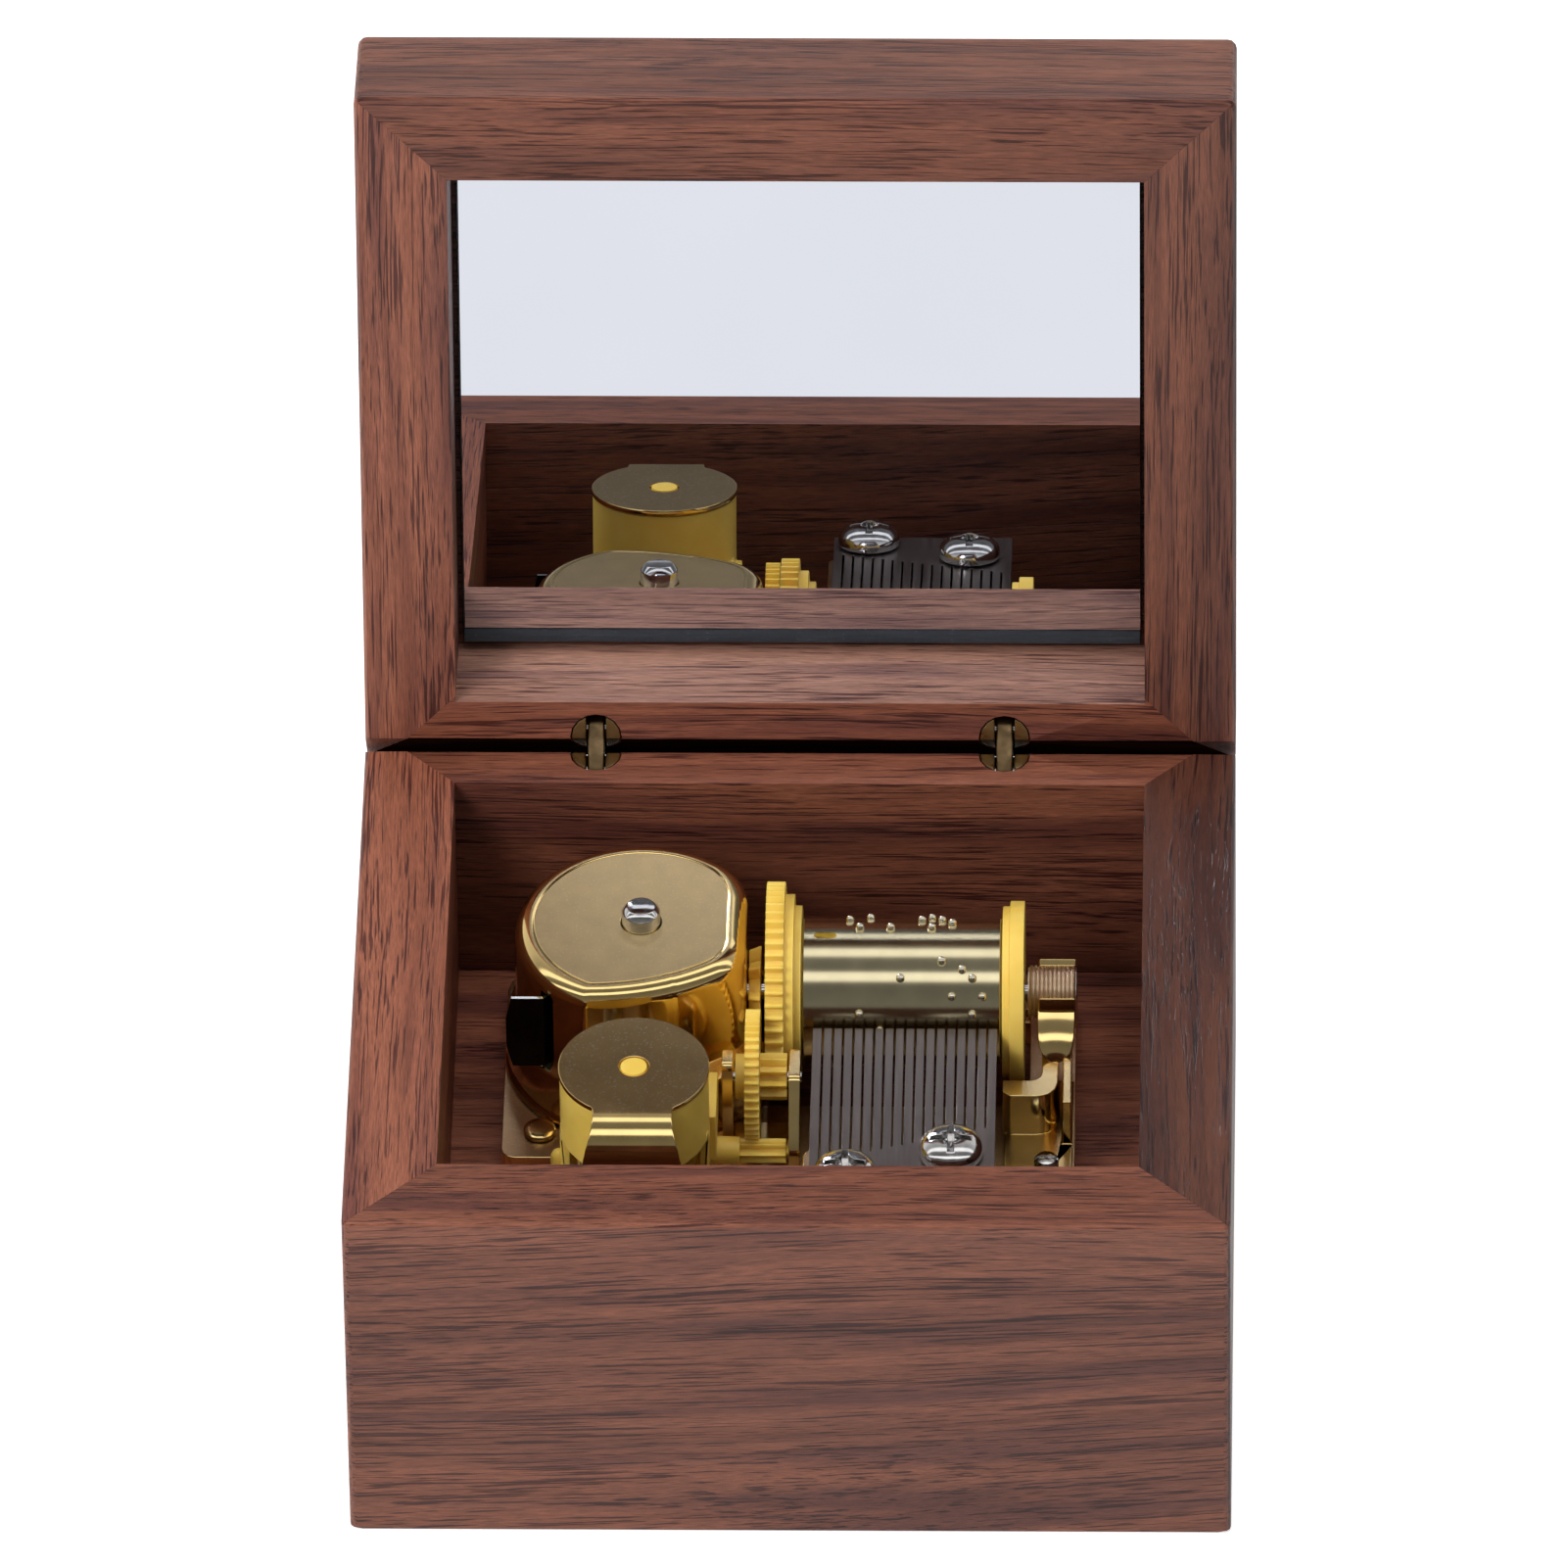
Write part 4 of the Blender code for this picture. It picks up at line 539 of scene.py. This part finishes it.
cap_top, wall, corner, hole_radius = 19.3, 1.0, 1.6, 1.8
turns = [math.radians(15 * k) for k in range(7)]
shoulder = [(cap_point, corner * (1 - math.sin(turn)), cap_top - corner + corner * math.cos(turn))
            for turn in turns]
shell = skin(
    [(round_point, hole_radius, cap_top - 0.1), (round_point, hole_radius + 0.1, cap_top),
     (cap_point, corner + 0.24, cap_top), (cap_point, corner + 0.17, cap_top - 0.06),
     (cap_point, corner + 0.07, cap_top - 0.04), *shoulder,
     (cap_point, 0.0, 10.3), (cap_point, -0.08, 9.75), (cap_point, -0.25, 9.4),
     (round_point, 11.8, 9.2), (round_point, 12.0, 9.0), (round_point, 12.1, 8.7), (round_point, 12.1, 4.9),
     (round_point, 12.16, 4.6), (round_point, 12.3, 4.35), (round_point, 12.4, 4.1),
     (round_point, 12.4, plate_top), (round_point, 11.3, plate_top), (round_point, 11.3, 8.5),
     (cap_point, wall, 8.6), (cap_point, wall, cap_top - wall), (round_point, hole_radius, cap_top - wall)],
    count=240)
shell.transform(at(arbor_x, 0, 0))
slit_turn = Matrix.Rotation(math.radians(222), 4, "Z")
stands_for("spring_housing", shell, gold("sanded", 0.40, 0.12), crease=50.0, cutters=[
    block((10.9, -20, -1), (20, 20, 9.6), at(arbor_x, 0, 0)),
    block((9.1, -4.6, 8.0), (20, 4.6, 9.6), at(arbor_x, 0, 0)),
    spun([(0, 20), (0.87, 20), (0.87, 4), (0, 4)], at(arbor_x, 0, axle_height, along_x), 32),
    block((8.8, -0.6, 9.2), (14, 1.0, 17.3), at(arbor_x, 0, 0, slit_turn))])


# Winding arbor: turned bright steel with a broad bevel round its end. It stands in the housing, carries the
# plated drive wheel and takes the steel key under the floor.
polished_gold = gold("polished", 0.24, 0.12)
stands_for("winding_arbor", spun(
    [(0, 21.1), (1.18, 21.1), (1.28, 21.05), (1.66, 20.6), (1.72, 20.45), (1.72, 17.7), (2.6, 17.7),
     (2.6, 9.1), (1.72, 9.1), (1.72, 0.6), (1.4, 0.6), (1.4, -7.0), (0, -7.0)], at(arbor_x, 0, 0)),
    bright_steel)
softened("drive_wheel", polished_gold, 0.06)
softened("winding_key", bright_steel, 0.2, 3)


# Mainspring: a blued steel strip coiled in the housing. Its outer end comes out as a black tab with clipped
# corners, and a painted highlight of bright steel on its top faces stands for the glint along its top edge.
def prism(outline, along):
    """A flat outline extruded along a vector."""
    bm = bmesh.new()
    face = bm.faces.new([bm.verts.new(point) for point in outline])
    grown = bmesh.ops.extrude_face_region(bm, geom=[face])["geom"]
    bmesh.ops.translate(bm, vec=along, verts=[item for item in grown if isinstance(item, bmesh.types.BMVert)])
    return bm


clip_across, clip_up, tab_length, clip_front, clip_depth = 0.75, 2.3, 3.5, -9.5, 4.5
low, high = (Vector(corner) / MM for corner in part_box("mainspring"))
clips = []
for end, level in ((-1, low.z - floor_top), (1, high.z - floor_top)):
    clip = prism([(low.x - 1, clip_front, level + end), (low.x + clip_across, clip_front, level + end),
                  (low.x, clip_front, level - end * clip_up), (low.x - 1, clip_front, level - end * clip_up)],
                 (0, clip_depth, 0))
    clip.transform(at(0, 0, 0))
    clips.append(clip)
blued_steel = worn_metal("blued_steel", (0.020, 0.022, 0.022), 0.25, 0.4, (500.0, 500.0, 500.0))
spring = stands_for("mainspring", own_mesh("mainspring", whole_faces=False), blued_steel, cutters=clips)
# Painted highlight: the tab's upward faces take bright steel, for the glint along its top edge.
spring.data.materials.append(bright_steel)
for face in spring.data.polygons:
    if face.normal.z > 0.9 and face.center.x < (low.x + tab_length) * MM:
        face.material_index = 1


# Cylinder: a thin polished tube of pale gold with a small oval hole near the gear, on a steel arbor between
# its gear and its end flange.
tube_radius, tube_bore, tube_edge = 6.5, 6.0, 0.08
tube_low, tube_high = (Vector(corner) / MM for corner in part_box("pinned_cylinder"))
tube = spun([(tube_radius, tube_low.x + tube_edge), (tube_radius, tube_high.x - tube_edge),
             (tube_radius - tube_edge, tube_high.x), (tube_bore, tube_high.x), (tube_bore, tube_low.x),
             (tube_radius - tube_edge, tube_low.x)], at(0, 0, axle_height, along_x), 192, closed=True)
hole_end, hole_bottom, hole_depth = 0.4, 5.0, 2.5
oval = []
for centre, first in ((3.17, -90), (1.97, 90)):
    for turn in range(first, first + 181, 15):
        x, y, z = round_point(turn, hole_end, hole_bottom)
        oval.append((centre + x, y, z))
hole = prism(oval, (0, 0, hole_depth))
hole.transform(at(0, 0, axle_height))
pale_gold = gold("cylinder", 0.16, 0.16, dull=(0.66, 0.58, 0.37), bright=(0.66, 0.58, 0.37))
stands_for("pinned_cylinder", tube, pale_gold, cutters=[hole])
softened("cylinder_shaft", bright_steel, 0.05)


# Note pins: a short round pin of pale steel with a domed end, at each place where the mesh of the CAD
# cylinder has one, which is an island of points outside the tube.
pin_radius = 0.4
source = own_mesh("pinned_cylinder", whole_faces=False)
axis_z = axle_height + floor_top
waiting = {vert for vert in source.verts
           if Vector((vert.co.y / MM - arbor_y, vert.co.z / MM - axis_z)).length > tube_radius + 0.4}
pins = bmesh.new()
while waiting:
    island = {waiting.pop()}
    fringe = list(island)
    while fringe:
        vert = fringe.pop()
        near = {edge.other_vert(vert) for edge in vert.link_edges} & waiting
        waiting -= near
        island |= near
        fringe += near
    middle = sum((vert.co for vert in island), Vector()) / len(island) / MM
    lean = math.atan2(middle.z - axis_z, middle.y - arbor_y) - math.pi / 2
    pin = spun([(0, 7.05), (0.18, 7.02), (0.31, 6.94), (0.38, 6.8), (pin_radius, 6.6), (pin_radius, 6.2),
                (0, 6.2)], at(middle.x, 0, axle_height, Matrix.Rotation(lean, 4, "X")), 12)
    mesh = bpy.data.meshes.new("pin")
    pin.to_mesh(mesh)
    pin.free()
    pins.from_mesh(mesh)
    bpy.data.meshes.remove(mesh)
source.free()
pin_steel = worn_metal("note_pin_steel", (0.97, 0.90, 0.70), 0.12, 0.22, (1400.0, 1400.0, 1400.0))
goes_with(as_object("cylinder_pins", pins, pin_steel, 40.0), "pinned_cylinder")


# Gears: the cylinder's gear, end flange and bevel pinion, the intermediate wheel and the worm wheel are
# moulded in yellow plastic, which lets a little light in. The bracket that holds the train is gold plated.
plastic, tree, shader = new_material("yellow_plastic")
cloud = noise(tree, put(tree, "ShaderNodeTexCoord").outputs["Object"], 300.0, 2.0)
yellow = ramp(tree, cloud, [(0.3, (0.77, 0.52, 0.09)), (0.7, (0.85, 0.60, 0.13))])
tree.links.new(yellow, shader.inputs["Base Color"])
tree.links.new(ramp(tree, cloud, [(0.3, 0.34), (0.7, 0.46)]), shader.inputs["Roughness"])
shader.inputs["Subsurface Weight"].default_value = 0.35
shader.inputs["Subsurface Radius"].default_value = (1.0, 0.6, 0.15)
shader.inputs["Subsurface Scale"].default_value = 0.0012
for node, ease in (("cylinder_gear", 0.05), ("cylinder_end_flange", 0.08), ("drive_pinion", 0.08),
                   ("intermediate_wheel", 0.035), ("third_wheel", 0.035)):
    softened(node, plastic, ease)
softened("intermediate_shaft", bright_steel, 0.05)
softened("gear_bracket", polished_gold, 0.08)


# Bearing bush: a gold-plated sleeve at the cylinder's right end, with a fine thread cut round it. The end
# of the arbor turns in its bore.
thread_pitch, root_radius, crest_radius, bore_radius = 0.38, 2.2, 2.4, 0.87
low, high = (Vector(corner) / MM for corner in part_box("bearing_bush"))
profile = [(bore_radius, high.x), (root_radius, high.x)]
for ridge in range(int((high.x - low.x) / thread_pitch)):
    start = high.x - 0.04 - ridge * thread_pitch
    profile += [(root_radius, start), (crest_radius - 0.04, start - 0.1), (crest_radius, start - 0.17),
                (crest_radius - 0.04, start - 0.24), (root_radius, start - 0.34)]
profile += [(root_radius, low.x), (bore_radius, low.x)]
threaded_gold = gold("threaded", 0.4, 0.4, dull=(1.0, 0.84, 0.68), bright=(1.0, 0.84, 0.68))
stands_for("bearing_bush", spun(profile, at(0, 0, axle_height, along_x), 96, closed=True), threaded_gold)


# Bearing bracket: a gold-plated strap under the bush, held by a slotted steel screw. Its front ear is a
# polished tongue that leaves the strap and bows down to a round end.
softened("bearing_bracket", polished_gold, 0.12, 3)
ear_middle, ear_wall, ear_crown = 23.15, 0.6, 0.02
ear_rows = [(-2.3, 11.62, 1.62), (-2.9, 11.5, 1.65), (-3.7, 11.25, 1.65), (-4.5, 10.9, 1.64),
            (-5.2, 10.45, 1.6), (-5.75, 9.95, 1.5), (-6.15, 9.4, 1.3), (-6.35, 8.95, 0.98),
            (-6.45, 8.65, 0.5)]
tongue = bmesh.new()
bmesh.ops.create_grid(tongue, x_segments=12, y_segments=len(ear_rows) - 1, size=1.0)
for vert in tongue.verts:
    step = round(vert.co.x * 6)
    y, z, half = ear_rows[round((1 - vert.co.y) / 2 * (len(ear_rows) - 1))]
    vert.co = (ear_middle + half * step / 6, y - ear_crown * step ** 2 / 6, z)
tongue.transform(at(0, 0, 0))
face_outward(tongue)
ear = as_object("bearing_bracket_ear", tongue, polished_gold, 60.0)
thickened(ear, ear_wall)
eased(ear, 0.2, 3, 60.0)
settled(ear)
ear.data.shade_smooth()
goes_with(ear, "bearing_bracket")


def standing(node, level=0.0):
    """An upright node's axis at a level over the floor, as a place, then the node's top and its radius."""
    low, high = (Vector(corner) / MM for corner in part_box(node))
    middle = (low + high) / 2
    return at(middle.x, middle.y - arbor_y, level), high.z - floor_top, (high.x - low.x) / 2


place, top, reach = standing("bearing_screw")
screw = spun([(0, top), (0.5, top - 0.03), (0.9, top - 0.16), (1.1, top - 0.4), (1.1, top - 0.7),
              (0.6, top - 0.7), (0.6, 2.0), (0, 1.9)], place, 48)
slot = block((-2, -0.15, top - 0.3), (2, 0.15, top + 1), place)
stands_for("bearing_screw", screw, bright_steel, cutters=[slot])


# Corner rivet: a low gold-plated head with a rounded rim, in the left front corner of the bedplate. Its shank
# goes through the plate.
place, top, reach = standing("corner_rivet")
stands_for("corner_rivet", spun(
    [(0, top), (reach * 0.6, top - 0.02), (reach * 0.86, top - 0.06), (reach * 0.97, top - 0.14),
     (reach, top - 0.25), (reach, plate_top), (0.78, plate_top), (0.78, 1.8), (0, 1.8)], place, 48),
    polished_gold)


# Governor: a yellow plastic cup with a round peg on the bedplate. Its steel worm shaft turns in the cup with
# brass fly weights.
softened("governor_housing", plastic, 0.12)
peg = spun([(0, 7.1), (0.35, 7.03), (0.62, 6.8), (0.78, 6.4), (0.82, 5.9), (0.82, plate_top), (0, plate_top)],
           at(-20.85, -17.0, 0), 32)
goes_with(as_object("governor_housing_foot", peg, plastic, 40.0), "governor_housing")
aged_brass = worn_metal("aged_brass", (0.44, 0.31, 0.15), 0.22, 0.5, (1100.0, 1100.0, 1100.0))
softened("governor_worm", bright_steel, 0.03)
softened("governor_weights", aged_brass, 0.05)


# Governor cap: a gold-plated disc over the cup, with a tongue that folds down in front of the cup in a wide
# bend and back under it at the heel. The strip is cut flat, scored across where it bends, and then bent.
disc_radius, cap_wall, bend, heel_bend, under = 6.7, 0.5, 3.2, 0.9, 2.3
cap_low, cap_high = (Vector(corner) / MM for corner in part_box("governor_cap"))
disc_y = cap_high.y - arbor_y - disc_radius
disc_level = cap_high.z - floor_top - cap_wall / 2
foot_level = cap_low.z - floor_top + cap_wall / 2
front = cap_low.y - arbor_y - 0.7
fold = disc_y - front - cap_wall / 2 - bend
drop = disc_level - foot_level - bend - heel_bend
quarter, heel = bend * math.pi / 2, heel_bend * math.pi / 2
tip = fold + quarter + drop + heel + under
outline = [(disc_radius * math.sin(math.radians(turn)), -disc_radius * math.cos(math.radians(turn)))
           for turn in range(0, 148, 3)]
outline += [(3.55, 5.8), (3.5, 6.4), (3.52, fold + 1.0), (3.62, fold + 1.8), (3.8, fold + 2.7),
            (4.1, fold + 3.7), (4.35, fold + 5.0), (4.35, tip - 0.5), (4.1, tip - 0.1), (3.8, tip)]
outline += [(-x, run) for x, run in reversed(outline) if x > 0.001]
strip = bmesh.new()
strip.faces.new([strip.verts.new((x, run, 0)) for x, run in outline])
scores = [fold + quarter * k / 12 for k in range(13)]
scores += [fold + quarter + drop + heel * k / 8 for k in range(9)]
for score in scores:
    whole = list(strip.verts) + list(strip.edges) + list(strip.faces)
    bmesh.ops.bisect_plane(strip, geom=whole, plane_co=(0, score, 0), plane_no=(0, 1, 0))
for vert in strip.verts:
    run = vert.co.y
    first = min(max(run - fold, 0), quarter) / bend
    down = max(run - fold - quarter, 0)
    second = min(max(down - drop, 0), heel) / heel_bend
    back = max(down - drop - heel, 0)
    y = -min(run, fold) - bend * math.sin(first) + heel_bend * (1 - math.cos(second)) + back
    z = disc_level - bend * (1 - math.cos(first)) - min(down, drop) - heel_bend * math.sin(second)
    vert.co = (vert.co.x, y, z)
over_cup = at((cap_low.x + cap_high.x) / 2, disc_y, 0)
strip.transform(over_cup)
boss = spun([(0, 25), (1.35, 25), (1.35, 18), (0, 18)], over_cup, 48)
speckled_gold = gold("speckled", 0.30, 0.12, dull=(0.50, 0.35, 0.16))
stands_for("governor_cap", strip, speckled_gold, cutters=[boss], bevel=0.1, thickness=cap_wall)


# Comb: one plate of ground steel, slit into its tines. Two bright domed screws hold it, each with crossed
# slots and a dimple where they meet.
comb_steel = worn_metal("comb_steel", (0.31, 0.27, 0.26), 0.34, 0.46, (2500.0, 120.0, 900.0))
softened("comb", comb_steel, 0.04)
head_radius, shank_radius, washer = 2.84, 1.0, 0.15
comb_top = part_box("comb")[1][2] / MM - floor_top
for side in ("left", "right"):
    place, top, reach = standing(f"comb_screw_{side}", comb_top + washer)
    head = spun([(0, 2.0), (0.8, 1.97), (1.45, 1.87), (2.0, 1.68), (2.4, 1.42), (2.68, 1.1), (2.8, 0.8),
                 (head_radius, 0.5), (head_radius, 0.12), (head_radius - 0.12, 0.0), (shank_radius, 0.0),
                 (shank_radius, -6.2), (0, -6.4)], place, 96)
    cross = [block((-1.75, -0.3, 0.85), (1.75, 0.3, 3), place),
             block((-0.3, -1.75, 0.8), (0.3, 1.75, 3), place),
             spun([(0, 3), (1.0, 3), (0.75, 1.2), (0, 0.6)], place, 24)]
    stands_for(f"comb_screw_{side}", head, bright_steel, cutters=cross, bevel=0.05, crease=40.0)


# Lid: four walnut rails with mitred corners round a top panel, made as the case is. The inner wall of the
# back rail has a painted sheen that makes it paler, and its bevel against the case has painted shade that
# makes it nearly black.
open_deg = 99.9
back_place = (70, 210, 90)
# As in the case, each rail's last number is partly its own tone and partly painted light: the left rail
# lighter, the right one darker.
glued_board("lid_front_rail", cut_walnut("lid_front_rail", (open_deg, 0, 0), (33, 61, 140), 0.88))
glued_board("lid_left_rail", cut_walnut("lid_left_rail", (open_deg, 0, 90), (20, 90, 30), 1.35))
glued_board("lid_right_rail", cut_walnut("lid_right_rail", (open_deg, 0, 90), (120, 10, 170), 0.75))
# Painted sheen: the back rail's inner wall, which looks up, is made paler.
back_rail = glued_board(
    "lid_back_rail", cut_walnut("lid_back_rail", (open_deg, 0, 0), back_place, 1.4, painted_sheen=(1.5, 2.3, 2.9)))
# Painted shade: the rail's bevel against the case is coloured nearly black and has no shine, for the shade in
# the gap.
back_rail.data.materials.append(cut_walnut("lid_bevel_painted_shade", (open_deg, 0, 0), back_place, 0.06, shine=0.0))
for face in back_rail.data.polygons:
    if face.normal.y < -0.7 and -0.65 < face.normal.z < -0.5:
        face.material_index = 1
dress("lid_top_panel", cut_walnut("lid_top_panel", (open_deg, 0, 0), (15, 310, 60), 1.0))


# Hinges: on each side a round barrel of aged brass is let into the case and another into the lid. A brass
# link joins them, and turns on a steel pin in each.
link_brass = worn_metal("link_brass", (0.24, 0.16, 0.08), 0.25, 0.6, (900.0, 900.0, 900.0))
for side in ("left", "right"):
    softened(f"hinge_link_{side}", link_brass, 0.2, 3)
    for half in ("case", "lid"):
        softened(f"{half}_hinge_barrel_{side}", aged_brass, 0.12)
        softened(f"{half}_hinge_pin_{side}", bright_steel, 0.05)


# Mirror: a clear pane silvered on its back and let into the lid. Its ground edge shows as a dark rim with a
# few light chips, and the front edge of the glass is eased.
silver, tree, shader = new_material("mirror_silver")
film = noise(tree, put(tree, "ShaderNodeTexCoord").outputs["Object"], 35.0, 3.0)
silvering = ramp(tree, film, [(0.3, (0.735, 0.755, 0.82)), (0.7, (0.755, 0.775, 0.84))])
tree.links.new(silvering, shader.inputs["Base Color"])
shader.inputs["Metallic"].default_value = 1.0
shader.inputs["Roughness"].default_value = 0.0
glass, tree, shader = new_material("mirror_glass")
film = noise(tree, put(tree, "ShaderNodeTexCoord").outputs["Object"], 60.0, 3.0)
clear = ramp(tree, film, [(0.3, (0.985, 0.99, 0.99)), (0.7, (1.0, 1.0, 1.0))])
tree.links.new(clear, shader.inputs["Base Color"])
shader.inputs["Roughness"].default_value = 0.0
shader.inputs["IOR"].default_value = 1.12
shader.inputs["Transmission Weight"].default_value = 1.0
ground_edge, tree, shader = new_material("mirror_ground_edge")
chips = noise(tree, put(tree, "ShaderNodeTexCoord").outputs["Object"], 1800.0, 3.0, 0.7)
ground = ramp(tree, chips, [(0.35, (0.004, 0.005, 0.008)), (0.66, (0.012, 0.014, 0.02)),
                            (0.76, (0.2, 0.22, 0.25))])
tree.links.new(ground, shader.inputs["Base Color"])
shader.inputs["Roughness"].default_value = 0.35

front_gap, front_edge = 0.35, 0.08
hinge = next(joint for joint in frame["record"]["behaviour"]["joints"] if joint["name"] == "lid_swing")
lid_place = Matrix.Translation(hinge["pos_m"]) @ Matrix.Rotation(math.radians(-open_deg), 4, "X")
points = [lid_place.inverted() @ vert.co / MM for vert in nodes["mirror_pane"].data.vertices]
low = Vector(min(point[k] for point in points) for k in range(3))
high = Vector(max(point[k] for point in points) for k in range(3))
low.z += front_gap
pane = block(low, high, Matrix())
front_lines = [edge for edge in pane.edges if all(vert.co.z < low.z + 0.01 for vert in edge.verts)]
bmesh.ops.bevel(pane, geom=front_lines, offset=front_edge, offset_type="OFFSET", segments=1, profile=0.5,
                affect="EDGES", material=-1)
for face in pane.faces:
    depth = face.calc_center_median().z
    face.material_index = 1 if depth > high.z - 0.01 else 2 if depth < low.z + 0.01 else 0
pane.transform(lid_place @ Matrix.Scale(MM, 4))
mirror = stands_for("mirror_pane", pane, ground_edge, crease=10.0)
mirror.data.materials.append(silver)
mirror.data.materials.append(glass)


# Sizes: the box round the dressed pieces, leaving out the floor.
low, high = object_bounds()
